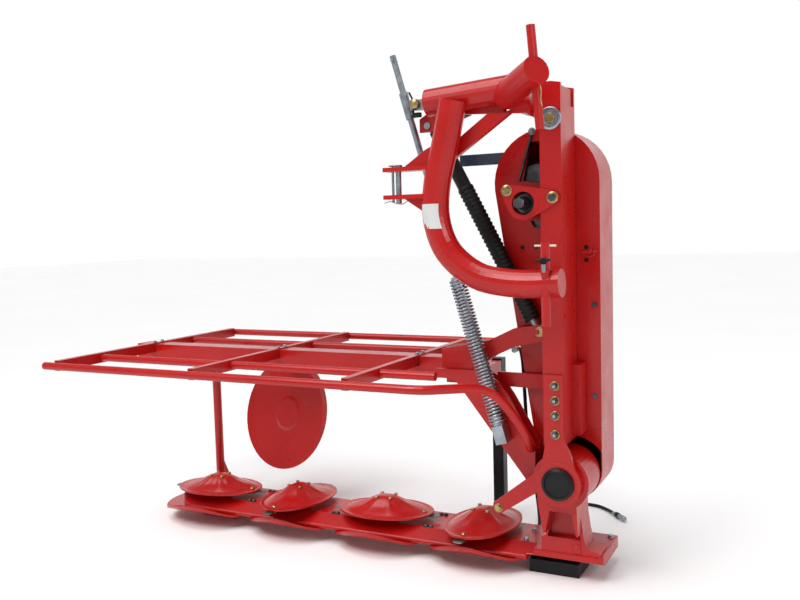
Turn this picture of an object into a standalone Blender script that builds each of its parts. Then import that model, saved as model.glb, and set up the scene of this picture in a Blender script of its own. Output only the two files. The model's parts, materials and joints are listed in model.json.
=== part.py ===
"""Rear-mounted four-disc mower, standing folded on its parking leg, outer shoe and packing block.

Metres, +Z up.  X runs along the cutter bar towards the gearbox, -Y is the tractor's side.
The origin is on the floor, straight below the axis on which the drive arm folds.
"""
import math

import bmesh
import bpy
from mathutils import Matrix, Vector

GAP = 0.0003                 # between pieces that touch
ROUND = 24                   # sides of a round piece

# cutter bar
DISC_COUNT = 4
DISC_PITCH = 0.40
LAST_DISC_X = -0.335
BLOCK_SIZE = (0.175, 0.180, 0.046)
BLOCK_X = -0.052
BLOCK_Y = -0.015
SKID_THICK = 0.009
SKID_RADIUS = 0.200
SKID_RISE = 0.046
OUTER_SKID_REACH = 1.22        # the outermost skid is this much longer to its free side
HOUSING_HEIGHT = 0.044
DISC_Y = -0.035
HOUSING_FRONT = -0.150
HOUSING_BACK = 0.090
HOUSING_RIGHT = 0.125
HOUSING_CORNER = 0.025
HOUSING_SLOPE = 0.060         # width of the sloped front edge
SHOE_LENGTH = 0.24
SHOE_WIDTH = 0.15

# cutting discs
DISC_LONG = 0.190            # half of the oval's length
DISC_SHORT = 0.128           # half of its width
DISC_RAISE = 0.022           # underside of the disc above the housing
DISC_EDGE = 0.006
CAP_RADIUS = 0.098
CAP_HEIGHT = 0.062
HUB_RADIUS = 0.045
KNIFE_TIP = 0.215
KNIFE_WIDTH = 0.040
KNIFE_THICK = 0.004
DISC_TURN = 5.0             # degrees the first disc is turned from the bar

# folding hinge and gearbox
HINGE_Z = 0.355
DRUM_RADIUS = 0.095
DRUM_FRONT = -0.190
DRUM_BACK = -0.040
PEDESTAL_TOP_HALF = 0.062
PEDESTAL_FOOT_HALF = 0.082
BOSS_RADIUS = 0.076
BOSS_THICK = 0.026
CAP_PLUG_RADIUS = 0.054
CAP_PLUG_THICK = 0.014

# drive arm
MAST_LEFT = -0.050
MAST_RIGHT = 0.020
MAST_FRONT = -0.205
MAST_BACK = -0.042
MAST_BOTTOM = 0.480
MAST_SHOULDER = 1.440
MAST_TOP = 1.655
EAR_THICK = 0.012
BRACKET_TOP = 0.715
STIFFENER_TOP = 0.735         # casing on the mast's right side, above the drum
STIFFENER_WIDTH = 0.030
PIVOT_X = -0.013
PIVOT_Z = 1.538
PIVOT_RADIUS = 0.0125

# belt guard
GUARD_FRONT = -0.0385
GUARD_BACK = 0.140
GUARD_WALL = 0.004
GUARD_TOP_X = -0.083
GUARD_TOP_Z = 1.345
GUARD_RADIUS = 0.184
GUARD_FOOT_X = -0.008
GUARD_FOOT_Z = 0.362
GUARD_FOOT_RADIUS = 0.109

# drive line
SHAFT_X = -0.105
SHAFT_Z = 1.273
SHAFT_RADIUS = 0.0175
SHAFT_FRONT = -0.262
CARRIER_RADIUS = 0.052
CARRIER_FRONT = -0.217
CARRIER_EARS = ((-0.160, 1.316, 0.020), (-0.006, 1.288, 0.022))    # bolt ears: x, z and radius
UPPER_PULLEY_RADIUS = 0.138
LOWER_PULLEY_RADIUS = 0.088
PULLEY_FRONT = -0.020
PULLEY_BACK = 0.100

# hitch frame
HITCH_TUBE = 0.045
HITCH_Y = -0.315
LINK_PIN_RADIUS = 0.014
LINK_PIN_X = 0.008
LINK_PIN_Y = -0.345
LINK_SPACING = 0.640
LOWER_LEG_Z = 1.018
CROSS_Z = 1.614
CROSS_RISE = 0.020
CROSS_Y = -0.262
CROSS_LEFT = -0.414
CROSS_RIGHT = -0.120
FRONT_TUBE_WAY = (-0.753, 0.595, -0.274)
WEB_LEFT = -0.290             # left end of the web plate under the cross tube
CLEVIS_GAP = 0.077
CLEVIS_PLATE = 0.014
CLEVIS_Z = 1.352
CLEVIS_TIP = -0.548

# lift cylinder, relief spring
CYLINDER_Y = -0.080
CYLINDER_TOP = (-0.475, 1.556)
CYLINDER_EYE = (-0.100, 0.840)
BARREL_RADIUS = 0.025
BELLOWS_RADIUS = 0.030
ROD_RADIUS = 0.014
SPRING_Y = -0.150
SPRING_TOP = (-0.545, 1.628)
SPRING_EYE = (-0.216, 0.487)
SPRING_RADIUS = 0.030
SPRING_ROD_RADIUS = 0.011
SPRING_LENGTH = 0.53
SLEEVE_RADIUS = 0.016
SLEEVE_LENGTH = 0.095
ROD_ABOVE = 0.185

# lever and gussets on the bar
GUSSET_THICK = 0.010
GUSSET_FRONT = -0.112
GUSSET_BACK = -0.056
LEVER_THICK = 0.010

# swath guard frame
RAIL_Z = 0.690
RAIL_RADIUS = 0.0155
RAIL_LEFT = -2.045
RAIL_Y = (-0.472, -0.225, 0.365, 0.700)
BEAM_SIZE = 0.080
BEAM_FRONT = 0.094
BEAM_LEFT = -2.085
BEAM_RIGHT = -0.435
BEAM_TOP = 0.706
CROSS_BARS_X = (-1.995, -1.310, -0.655)
CROSS_BAR_SIZE = (0.025, 0.042)
POST_X = -1.750
POST_Y = 0.235
POST_RADIUS = 0.019

# swath disc
SWATH_RADIUS = 0.245
SWATH_CENTRE = (-1.375, 0.262, 0.394)
SWATH_TURN = -11.0
SWATH_TILT = 14.0

# parking leg
LEG_SIZE = 0.045
LEG_X = -0.428
LEG_Y = 0.400
LEG_TOP = 0.666

# hydraulic hose
HOSE_RADIUS = 0.0065
HOSE_ROUTE = [
    (-0.200, -0.030, 0.768), (-0.200, -0.008, 0.768), (-0.200, 0.018, 0.752), (-0.201, 0.040, 0.705),
    (-0.203, 0.058, 0.620), (-0.205, 0.080, 0.500), (-0.207, 0.112, 0.380), (-0.209, 0.160, 0.265),
    (-0.212, 0.215, 0.165), (-0.218, 0.255, 0.085), (-0.228, 0.290, 0.030), (-0.240, 0.325, 0.010),
    (-0.254, 0.370, 0.007), (-0.264, 0.430, 0.007), (-0.260, 0.500, 0.007), (-0.238, 0.575, 0.007),
    (-0.198, 0.635, 0.007), (-0.145, 0.660, 0.007), (-0.088, 0.652, 0.008), (-0.040, 0.615, 0.010),
    (-0.005, 0.575, 0.013),
]
COUPLER_END = (0.058, 0.505, 0.016)

RED = (0.62, 0.015, 0.012)
BLACK = (0.012, 0.012, 0.013)
STEEL = (0.52, 0.53, 0.55)
NAVY = (0.03, 0.05, 0.09)


# ---------------------------------------------------------------- helpers

def clear_scene():
    for obj in list(bpy.data.objects):
        bpy.data.objects.remove(obj, do_unlink=True)


def material(name, colour, roughness=0.35, metallic=0.0):
    found = bpy.data.materials.get(name)
    if found:
        return found
    made = bpy.data.materials.new(name)
    made.use_nodes = True
    shader = made.node_tree.nodes["Principled BSDF"]
    shader.inputs["Base Color"].default_value = (*colour, 1.0)
    shader.inputs["Roughness"].default_value = roughness
    shader.inputs["Metallic"].default_value = metallic
    return made


def red():
    return material("red_paint", RED, 0.28)


def zinc():
    return material("zinc", STEEL, 0.35, 1.0)


def black(name="black_paint", roughness=0.45):
    return material(name, BLACK, roughness)


def add_object(name, bm, look, origin=(0, 0, 0), smooth=35.0):
    """Turn a bmesh in world coordinates into a named object with its origin at a point."""
    bmesh.ops.recalc_face_normals(bm, faces=bm.faces)
    bmesh.ops.translate(bm, verts=bm.verts, vec=-Vector(origin))
    mesh = bpy.data.meshes.new(name)
    bm.to_mesh(mesh)
    bm.free()
    mesh.shade_smooth()
    mesh.set_sharp_from_angle(angle=math.radians(smooth))
    mesh.materials.append(look)
    obj = bpy.data.objects.new(name, mesh)
    obj.location = origin
    bpy.context.collection.objects.link(obj)
    return obj


def box(low, high):
    bm = bmesh.new()
    bmesh.ops.create_cube(bm, size=1.0)
    low, high = Vector(low), Vector(high)
    for vert in bm.verts:
        vert.co = Vector(((low[i] + high[i]) / 2 + vert.co[i] * (high[i] - low[i])) for i in range(3))
    return bm


def prism(outline, start, end, axis="Y"):
    """Extrude an outline of (a, b) points along an axis, from start to end."""
    bm = bmesh.new()
    place = {
        "X": lambda a, b, c: (c, a, b),
        "Y": lambda a, b, c: (a, c, b),
        "Z": lambda a, b, c: (a, b, c),
    }[axis]
    rings = []
    for level in (start, end):
        rings.append([bm.verts.new(place(a, b, level)) for a, b in outline])
    bm.faces.new(rings[0])
    bm.faces.new(list(reversed(rings[1])))
    count = len(outline)
    for i in range(count):
        j = (i + 1) % count
        bm.faces.new((rings[0][i], rings[1][i], rings[1][j], rings[0][j]))
    return bm


def frame_between(start, end):
    """Matrix whose local Z runs from start to end, with its origin at start."""
    start, end = Vector(start), Vector(end)
    turn = (end - start).to_track_quat("Z", "Y").to_matrix().to_4x4()
    return Matrix.Translation(start) @ turn


def turned(profile, start, end, sides=ROUND):
    """Revolve a closed (radius, distance) profile about the line from start to end."""
    bm = bmesh.new()
    place = frame_between(start, end)
    columns = []
    for radius, along in profile:
        if radius == 0:
            columns.append([bm.verts.new(place @ Vector((0, 0, along)))])
            continue
        ring = []
        for k in range(sides):
            angle = 2 * math.pi * k / sides
            ring.append(bm.verts.new(place @ Vector((radius * math.cos(angle), radius * math.sin(angle), along))))
        columns.append(ring)
    pairs = list(zip(columns, columns[1:]))
    if profile[0][0] > 0:
        pairs.append((columns[-1], columns[0]))
    for first, second in pairs:
        for k in range(sides):
            j = (k + 1) % sides
            corners = [first[k % len(first)], first[j % len(first)], second[j % len(second)], second[k % len(second)]]
            unique = [v for n, v in enumerate(corners) if v not in corners[:n]]
            if len(unique) > 2:
                bm.faces.new(unique)
    return bm


def rod(start, end, radius, sides=ROUND):
    length = (Vector(end) - Vector(start)).length
    return turned([(0, 0), (radius, 0), (radius, length), (0, length)], start, end, sides)


def joined(first, *others):
    """Union of closed bmeshes, as one body."""
    for other in others:
        first = combined(first, other, "UNION")
    return first


def cut(first, *others):
    for other in others:
        first = combined(first, other, "DIFFERENCE")
    return first


def combined(first, second, operation):
    objects = []
    for bm in (first, second):
        bmesh.ops.recalc_face_normals(bm, faces=bm.faces)
        mesh = bpy.data.meshes.new("work")
        bm.to_mesh(mesh)
        bm.free()
        obj = bpy.data.objects.new("work", mesh)
        bpy.context.collection.objects.link(obj)
        objects.append(obj)
    modifier = objects[0].modifiers.new("combine", "BOOLEAN")
    modifier.operation = operation
    modifier.solver = "EXACT"
    modifier.object = objects[1]
    bpy.context.view_layer.update()
    graph = bpy.context.evaluated_depsgraph_get()
    result = bmesh.new()
    result.from_mesh(bpy.data.meshes.new_from_object(objects[0].evaluated_get(graph)))
    for obj in objects:
        bpy.data.objects.remove(obj, do_unlink=True)
    bmesh.ops.dissolve_degenerate(result, dist=1e-6, edges=result.edges)
    return result


def arc(centre, radius, first, last, steps):
    """Points on an arc, in degrees from first to last."""
    points = []
    for k in range(steps + 1):
        angle = math.radians(first + (last - first) * k / steps)
        points.append((centre[0] + radius * math.cos(angle), centre[1] + radius * math.sin(angle)))
    return points


def smooth_path(points, spacing):
    """Even points on a smooth curve through the given ones."""
    points = [Vector(p) for p in points]
    padded = [2 * points[0] - points[1]] + points + [2 * points[-1] - points[-2]]
    dense = []
    for i in range(1, len(padded) - 2):
        p0, p1, p2, p3 = padded[i - 1:i + 3]
        for k in range(20):
            t = k / 20
            dense.append(0.5 * (2 * p1 + (p2 - p0) * t + (2 * p0 - 5 * p1 + 4 * p2 - p3) * t * t
                                + (3 * p1 - p0 - 3 * p2 + p3) * t ** 3))
    dense.append(points[-1])
    total = sum((b - a).length for a, b in zip(dense, dense[1:]))
    count = max(2, round(total / spacing))
    result, walked, index = [dense[0]], 0.0, 0
    for k in range(1, count):
        target = total * k / count
        while walked + (dense[index + 1] - dense[index]).length < target:
            walked += (dense[index + 1] - dense[index]).length
            index += 1
        step = dense[index + 1] - dense[index]
        result.append(dense[index] + step * ((target - walked) / step.length))
    result.append(dense[-1])
    return result


def swept_tube(path, radius, sides=16):
    """Closed round tube along a path, with flat ends."""
    path = [Vector(p) for p in path]
    bm = bmesh.new()
    rings = []
    side = Vector((0, 0, 1))
    tangent = (path[1] - path[0]).normalized()
    if abs(side.dot(tangent)) > 0.9:
        side = Vector((0, 1, 0))
    for i, point in enumerate(path):
        before = path[max(i - 1, 0)]
        after = path[min(i + 1, len(path) - 1)]
        tangent = (after - before).normalized()
        side = (side - tangent * side.dot(tangent)).normalized()
        other = tangent.cross(side)
        ring = []
        for k in range(sides):
            angle = 2 * math.pi * k / sides
            ring.append(bm.verts.new(point + radius * (math.cos(angle) * side + math.sin(angle) * other)))
        rings.append(ring)
    for first, second in zip(rings, rings[1:]):
        for k in range(sides):
            j = (k + 1) % sides
            bm.faces.new((first[k], first[j], second[j], second[k]))
    bm.faces.new(rings[0])
    bm.faces.new(list(reversed(rings[-1])))
    return bm


def disc_x(index):
    return LAST_DISC_X - DISC_PITCH * (DISC_COUNT - 1 - index)


# ---------------------------------------------------------------- cutter bar

BED_BOTTOM = BLOCK_SIZE[2] + GAP
HOUSING_BOTTOM = BED_BOTTOM + SKID_THICK + GAP
HOUSING_TOP = HOUSING_BOTTOM + HOUSING_HEIGHT


def packing_block():
    size = BLOCK_SIZE
    add_object("packing_block", box((BLOCK_X - size[0] / 2, BLOCK_Y - size[1] / 2, 0),
                                    (BLOCK_X + size[0] / 2, BLOCK_Y + size[1] / 2, size[2])), black())


def skid_outline(centre_x):
    """Round front and straight back of the plate under one disc."""
    half = DISC_PITCH / 2 - GAP
    reach = math.degrees(math.acos(min(1.0, half / SKID_RADIUS)))
    front = arc((centre_x, DISC_Y), SKID_RADIUS, -reach, -180 + reach, 22)
    outline = [(centre_x + half, HOUSING_BACK)] + front + [(centre_x - half, HOUSING_BACK)]
    if centre_x > disc_x(0) + GAP:
        return outline
    return [(x if x > centre_x else centre_x + (x - centre_x) * OUTER_SKID_REACH, y) for x, y in outline]


def skid_overhang():
    """How far a skid's round front reaches ahead of the housing."""
    return SKID_RADIUS - DISC_Y + HOUSING_FRONT


def skid_height(y):
    """The plate runs flat under the bar and curls up in front of it."""
    ahead = max(0.0, HOUSING_FRONT - GAP - y) / skid_overhang()
    return SKID_RISE * ahead ** 1.5


def skids():
    """One plate under each disc, its front curled up ahead of the housing."""
    for index in range(DISC_COUNT):
        bm = prism(skid_outline(disc_x(index)), BED_BOTTOM, BED_BOTTOM + SKID_THICK, "Z")
        steps = 6
        for k in range(steps):
            y = HOUSING_FRONT - GAP - skid_overhang() * k / steps
            everything = bm.verts[:] + bm.edges[:] + bm.faces[:]
            bmesh.ops.bisect_plane(bm, geom=everything, plane_co=(0, y, 0), plane_no=(0, 1, 0))
        for vert in bm.verts:
            vert.co.z += skid_height(vert.co.y)
        add_object(f"skid_{index + 1}", bm, red())


def outer_shoe():
    """Deep sole under the outermost skid, on which the free end stands."""
    x = disc_x(0)
    half = SHOE_LENGTH / 2
    top = BED_BOTTOM - GAP
    profile = [(x - half, top), (x - half, top * 0.55), (x - half + 0.035, 0), (x + half - 0.035, 0),
               (x + half, top * 0.55), (x + half, top)]
    add_object("outer_shoe", prism(profile, DISC_Y - 0.02, DISC_Y - 0.02 + SHOE_WIDTH), red())


def bar_housing():
    left = disc_x(0)
    radius = (HOUSING_BACK - HOUSING_FRONT) / 2
    middle = (HOUSING_BACK + HOUSING_FRONT) / 2
    corner = HOUSING_CORNER
    outline = arc((left - 0.05, middle), radius, 90, 270, 16)
    outline += [(HOUSING_RIGHT - corner, HOUSING_FRONT), (HOUSING_RIGHT, HOUSING_FRONT + corner),
                (HOUSING_RIGHT, HOUSING_BACK)]
    body = prism(outline, HOUSING_BOTTOM, HOUSING_TOP, "Z")
    slope = prism([(HOUSING_FRONT - 0.01, HOUSING_BOTTOM + 0.008), (HOUSING_FRONT + HOUSING_SLOPE, HOUSING_TOP + 0.001),
                   (HOUSING_FRONT - 0.01, HOUSING_TOP + 0.001)], left - 0.4, -PEDESTAL_FOOT_HALF - 0.030, "X")
    under = prism([(HOUSING_FRONT - 0.010, HOUSING_BOTTOM - 0.001), (HOUSING_FRONT + 0.055, HOUSING_BOTTOM - 0.001),
                   (HOUSING_FRONT - 0.010, HOUSING_BOTTOM + 0.026)], disc_x(3) + DISC_PITCH / 2 - GAP,
                  HOUSING_RIGHT + 0.01, "X")
    obj = add_object("bar_housing", cut(body, slope, under), red())
    bevel = obj.modifiers.new("edge", "BEVEL")
    bevel.width = 0.006
    bevel.segments = 2
    bevel.limit_method = "ANGLE"
    bevel.angle_limit = math.radians(40)


# ---------------------------------------------------------------- cutting discs

def oval(long_half, short_half, turn, count=32):
    points = []
    for k in range(count):
        angle = 2 * math.pi * k / count
        point = Vector((long_half * math.cos(angle), short_half * math.sin(angle)))
        point.rotate(Matrix.Rotation(math.radians(turn), 2))
        points.append(point)
    return points


def cutting_disc(index):
    """Oval disc with a cone cap, its hub and the two knives bolted under its tips."""
    centre = Vector((disc_x(index), DISC_Y, 0))
    turn = DISC_TURN if index % 2 == 0 else 90 - DISC_TURN
    under = HOUSING_TOP + DISC_RAISE
    levels = [
        (DISC_LONG - 0.004, DISC_SHORT - 0.004, under),
        (DISC_LONG, DISC_SHORT, under + 0.003),
        (DISC_LONG, DISC_SHORT, under + DISC_EDGE),
        (DISC_LONG * 0.80, DISC_SHORT * 0.90, under + 0.020),
        (CAP_RADIUS * 1.12, CAP_RADIUS * 1.05, under + 0.028),
        (CAP_RADIUS * 0.72, CAP_RADIUS * 0.72, under + 0.050),
        (CAP_RADIUS * 0.36, CAP_RADIUS * 0.36, under + CAP_HEIGHT),
    ]
    bm = bmesh.new()
    rings = []
    for long_half, short_half, height in levels:
        ring = []
        for point in oval(long_half, short_half, turn):
            ring.append(bm.verts.new((centre.x + point.x, centre.y + point.y, height)))
        rings.append(ring)
    for first, second in zip(rings, rings[1:]):
        for k in range(len(first)):
            j = (k + 1) % len(first)
            bm.faces.new((first[k], first[j], second[j], second[k]))
    bm.faces.new(rings[0])
    bm.faces.new(rings[-1])
    hub = rod((centre.x, centre.y, HOUSING_TOP + GAP), (centre.x, centre.y, under + 0.012), HUB_RADIUS)
    body = joined(bm, hub)
    for side in (0, 180):
        knife = box((DISC_LONG - 0.065, -KNIFE_WIDTH / 2, under - KNIFE_THICK),
                    (KNIFE_TIP, KNIFE_WIDTH / 2, under + 0.001))
        place = Matrix.Translation(centre) @ Matrix.Rotation(math.radians(turn + side), 4, "Z")
        bmesh.ops.transform(knife, matrix=place, verts=knife.verts)
        body = joined(body, knife)
    add_object(f"cutting_disc_{index + 1}", body, red(), origin=(centre.x, centre.y, under))


# ---------------------------------------------------------------- gearbox and hinge

def gearbox():
    """Pedestal with a window on the bar's inner end, and the drum that the arm folds round."""
    foot = HOUSING_TOP + GAP
    half_foot, half_top = PEDESTAL_FOOT_HALF, PEDESTAL_TOP_HALF
    neck = HINGE_Z - 0.075
    outline = [(-half_foot, foot), (half_foot + 0.035, foot), (half_foot + 0.035, foot + 0.012),
               (half_foot - 0.010, foot + 0.022), (half_top, foot + 0.070), (half_top - 0.015, neck),
               (half_top - 0.015, HINGE_Z), (-half_foot, HINGE_Z), (-half_foot - 0.004, neck),
               (-half_foot + 0.016, foot + 0.056), (-half_foot, foot + 0.046)]
    front = DRUM_FRONT + 0.002
    back = DRUM_BACK - 0.005
    pedestal = prism(outline, HOUSING_FRONT + 0.005, back)
    upper = prism([(-half_top, foot + 0.075), (half_top - 0.006, foot + 0.075), (half_top - 0.012, HINGE_Z),
                   (-half_top - 0.018, HINGE_Z), (-half_top - 0.018, neck)], front, back)
    drum = rod((0, DRUM_FRONT, HINGE_Z), (0, DRUM_BACK, HINGE_Z), DRUM_RADIUS, 40)
    body = joined(pedestal, upper, drum)
    pocket = prism([(-0.060, foot + 0.050), (0.054, foot + 0.050), (0.036, neck - 0.028), (-0.040, neck - 0.028)],
                   front - 0.05, front + 0.07)
    body = cut(body, pocket)
    add_object("gearbox", body, red())


def hinge_parts():
    """Eye plate in front of the drum, bolted to the mast, and its black cap."""
    back = DRUM_FRONT - GAP
    ring = rod((0, back - BOSS_THICK, HINGE_Z), (0, back, HINGE_Z), BOSS_RADIUS, 40)
    outline = [(-BOSS_RADIUS + 0.012, HINGE_Z + 0.02), (BOSS_RADIUS - 0.008, HINGE_Z + 0.02),
               (MAST_RIGHT + 0.016, HINGE_Z + 0.115), (MAST_RIGHT - 0.001, HINGE_Z + 0.15),
               (MAST_RIGHT - 0.001, BRACKET_TOP), (MAST_LEFT + 0.006, BRACKET_TOP),
               (MAST_LEFT + 0.006, HINGE_Z + 0.12)]
    plate = prism(outline, back - BOSS_THICK + 0.001, MAST_FRONT - GAP)
    foot = prism([(-BOSS_RADIUS + 0.014, HINGE_Z + 0.02), (BOSS_RADIUS - 0.012, HINGE_Z + 0.02),
                  (MAST_RIGHT + 0.014, HINGE_Z + 0.112), (MAST_LEFT + 0.008, HINGE_Z + 0.112)],
                 back - BOSS_THICK + 0.002, back)
    add_object("arm_eye_plate", joined(ring, plate, foot), red(), origin=(0, back, HINGE_Z))
    front = back - BOSS_THICK - GAP
    depth = CAP_PLUG_THICK
    profile = [(0, 0), (CAP_PLUG_RADIUS, 0), (CAP_PLUG_RADIUS, depth * 0.6), (CAP_PLUG_RADIUS * 0.82, depth),
               (CAP_PLUG_RADIUS * 0.78, depth * 0.6), (0, depth * 0.6)]
    add_object("hinge_cap", turned(profile, (0, front, HINGE_Z), (0, front - 1, HINGE_Z), 32), black())


# ---------------------------------------------------------------- drive arm

def arm_mast():
    body = box((MAST_LEFT, MAST_FRONT, MAST_BOTTOM), (MAST_RIGHT, MAST_BACK, MAST_SHOULDER))
    outline = [(MAST_LEFT, MAST_SHOULDER - 0.05), (MAST_RIGHT, MAST_SHOULDER - 0.05), (MAST_RIGHT, MAST_TOP - 0.006),
               (MAST_RIGHT - 0.03, MAST_TOP), (MAST_LEFT, MAST_TOP)]
    front_ear = prism(outline, MAST_FRONT + 0.0002, MAST_FRONT + EAR_THICK)
    back_ear = prism(outline, MAST_BACK - EAR_THICK, MAST_BACK - 0.0002)
    wall = box((MAST_RIGHT - 0.0055, MAST_FRONT + 0.002, MAST_SHOULDER - 0.01),
               (MAST_RIGHT, MAST_BACK - 0.002, PIVOT_Z + 0.047))
    web = box((MAST_RIGHT - 0.011, MAST_FRONT + 0.002, PIVOT_Z + 0.030),
              (MAST_RIGHT - 0.005, MAST_BACK - 0.002, MAST_TOP - 0.012))
    stiffener = box((MAST_RIGHT - 0.002, MAST_BACK - 0.070, MAST_BOTTOM + 0.020),
                    (MAST_RIGHT + STIFFENER_WIDTH, MAST_BACK - 0.0005, STIFFENER_TOP))
    add_object("arm_mast", joined(body, front_ear, back_ear, wall, web, stiffener), red())


def pivot_pin():
    """Pin through the mast's ears, with its washer and nut in front."""
    front = MAST_FRONT - GAP
    start = (PIVOT_X, front - 0.008, PIVOT_Z)
    end = (PIVOT_X, MAST_BACK + 0.010, PIVOT_Z)
    length = end[1] - start[1]
    profile = [(0, 0), (0.0155, 0), (0.0155, 0.003), (0.036, 0.003), (0.036, 0.008), (PIVOT_RADIUS, 0.008),
               (PIVOT_RADIUS, length), (0, length)]
    add_object("pivot_pin", turned(profile, start, end), zinc())
    holes = rod((PIVOT_X, front - 0.05, PIVOT_Z), (PIVOT_X, MAST_BACK + 0.05, PIVOT_Z), PIVOT_RADIUS + GAP)
    cutter_from(holes, "arm_mast")


def cutter_from(bm, target):
    """Cut a bmesh out of an object that is already there."""
    obj = bpy.data.objects[target]
    source = bmesh.new()
    source.from_mesh(obj.data)
    source.transform(obj.matrix_world if obj.parent else Matrix.Translation(obj.location))
    look = obj.data.materials[0]
    origin = tuple(obj.location)
    bpy.data.objects.remove(obj, do_unlink=True)
    result = cut(source, bm)
    for mesh in list(bpy.data.meshes):
        if mesh.users == 0:
            bpy.data.meshes.remove(mesh)
    add_object(target, result, look, origin)


def guard_outline(shrink):
    """Outline of the belt guard: round top, straight right side, slanted left side, round foot."""
    top = (GUARD_TOP_X, GUARD_TOP_Z)
    foot = (GUARD_FOOT_X, GUARD_FOOT_Z)
    points = arc(top, GUARD_RADIUS - shrink, 0, 186, 20)
    points += arc(foot, GUARD_FOOT_RADIUS - shrink, 186, 360, 16)
    return points


def belt_guard():
    """Open tray behind the mast, with its thin rim and back."""
    front = GUARD_FRONT + GUARD_WALL + GAP
    outer = prism(guard_outline(0), front, GUARD_BACK)
    inner = prism(guard_outline(GUARD_WALL), front - 0.01, GUARD_BACK - GUARD_WALL)
    add_object("belt_guard_tray", cut(outer, inner), red())
    plate = prism(guard_outline(0), GUARD_FRONT, GUARD_FRONT + GUARD_WALL)
    upper = prism([(SHAFT_X - 0.058, SHAFT_Z + 0.081), (MAST_LEFT - 0.010, SHAFT_Z + 0.061),
                   (MAST_LEFT - 0.010, SHAFT_Z + 0.212), (SHAFT_X - 0.030, SHAFT_Z + 0.212)],
                  GUARD_FRONT - 0.01, GUARD_FRONT + 0.02)
    lower = prism([(SHAFT_X - 0.034, SHAFT_Z - 0.056), (SHAFT_X - 0.020, SHAFT_Z - 0.080),
                   (MAST_LEFT - 0.010, SHAFT_Z - 0.080), (MAST_LEFT - 0.010, SHAFT_Z - 0.056)],
                  GUARD_FRONT - 0.01, GUARD_FRONT + 0.02)
    shaft = rod((SHAFT_X, GUARD_FRONT - 0.01, SHAFT_Z), (SHAFT_X, GUARD_FRONT + 0.02, SHAFT_Z), 0.035)
    crescent = rod((0, GUARD_FRONT - 0.01, HINGE_Z), (0, GUARD_FRONT + 0.02, HINGE_Z), DRUM_RADIUS + 0.028, 32)
    add_object("belt_guard_plate", cut(plate, upper, lower, shaft, crescent), red())


def flange_outline(circles):
    """Tight outline round circles given as x, z and radius."""
    points = sorted(point for x, z, radius in circles for point in arc((x, z), radius, 0, 345, 23))
    halves = []
    for line in (points, points[::-1]):
        half = []
        for point in line:
            while len(half) > 1 and turn_of(half[-2], half[-1], point) <= 0:
                half.pop()
            half.append(point)
        halves += half[:-1]
    return halves


def turn_of(first, second, third):
    """Above zero where three points turn left."""
    return ((second[0] - first[0]) * (third[1] - first[1])
            - (second[1] - first[1]) * (third[0] - first[0]))


def bearing_carrier():
    """Casting round the input shaft, with a flange bolted to the mast's front."""
    ring = rod((SHAFT_X, CARRIER_FRONT, SHAFT_Z), (SHAFT_X, GUARD_FRONT - GAP, SHAFT_Z), CARRIER_RADIUS, 32)
    web = box((SHAFT_X, CARRIER_FRONT + 0.02, SHAFT_Z - 0.035), (MAST_LEFT - GAP, GUARD_FRONT - 0.03, SHAFT_Z + 0.035))
    flange = prism(flange_outline([(SHAFT_X, SHAFT_Z, CARRIER_RADIUS + 0.003), *CARRIER_EARS]),
                   CARRIER_FRONT + 0.001, MAST_FRONT - GAP)
    bore = rod((SHAFT_X, CARRIER_FRONT - 0.02, SHAFT_Z), (SHAFT_X, GUARD_FRONT + 0.02, SHAFT_Z),
               SHAFT_RADIUS + 0.0005, 32)
    mouth = rod((SHAFT_X, CARRIER_FRONT - 0.02, SHAFT_Z), (SHAFT_X, CARRIER_FRONT + 0.03, SHAFT_Z), 0.038, 32)
    add_object("bearing_carrier", cut(joined(ring, web, flange), bore, mouth), red())


def input_drive():
    """Splined input shaft with its belt pulley, and the pulley on the folding axis."""
    start = (SHAFT_X, SHAFT_FRONT, SHAFT_Z)
    end = (SHAFT_X, PULLEY_BACK + 0.01, SHAFT_Z)
    front = PULLEY_FRONT - SHAFT_FRONT
    back = PULLEY_BACK - SHAFT_FRONT
    last = back + 0.01
    profile = [(0, 0), (SHAFT_RADIUS - 0.002, 0), (SHAFT_RADIUS, 0.002), (SHAFT_RADIUS, front),
               (UPPER_PULLEY_RADIUS, front), (UPPER_PULLEY_RADIUS, back), (SHAFT_RADIUS, back), (SHAFT_RADIUS, last),
               (0, last)]
    add_object("input_shaft", turned(profile, start, end, 32), black("shaft_steel", 0.4), origin=start)
    start = (0, DRUM_BACK + GAP, HINGE_Z)
    front = PULLEY_FRONT - start[1]
    back = PULLEY_BACK - start[1]
    profile = [(0, 0), (0.030, 0), (0.030, front), (LOWER_PULLEY_RADIUS, front), (LOWER_PULLEY_RADIUS, back),
               (0, back)]
    add_object("lower_pulley", turned(profile, start, (0, 1, HINGE_Z), 32), black(), origin=start)


def guard_stay():
    bar = box((-0.420, 0.018, 1.420), (-0.200, 0.030, 1.460))
    add_object("guard_stay", cut(bar, prism(guard_outline(-GAP), -0.2, 0.3)), material("navy_paint", NAVY, 0.4))


# ---------------------------------------------------------------- hitch frame

def hitch_path(top):
    """Centre line of the bent tube: lower leg, bend and leaning upright."""
    points = [(0.050, LOWER_LEG_Z + 0.004), (-0.05, LOWER_LEG_Z), (-0.13, LOWER_LEG_Z + 0.004), (-0.218, 1.040),
              (-0.292, 1.086), (-0.344, 1.150), (-0.370, 1.245), (-0.362, 1.350), (-0.335, 1.455), (-0.300, top)]
    return smooth_path([(x, HITCH_Y, z) for x, z in points], 0.024)


def cross_tube_ends(spare=0.0):
    """The cross tube's two ends, or points past them."""
    left = Vector((CROSS_LEFT, CROSS_Y, CROSS_Z))
    right = Vector((CROSS_RIGHT, CROSS_Y, CROSS_Z + CROSS_RISE))
    way = (right - left).normalized()
    return left - way * spare, right + way * spare


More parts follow.
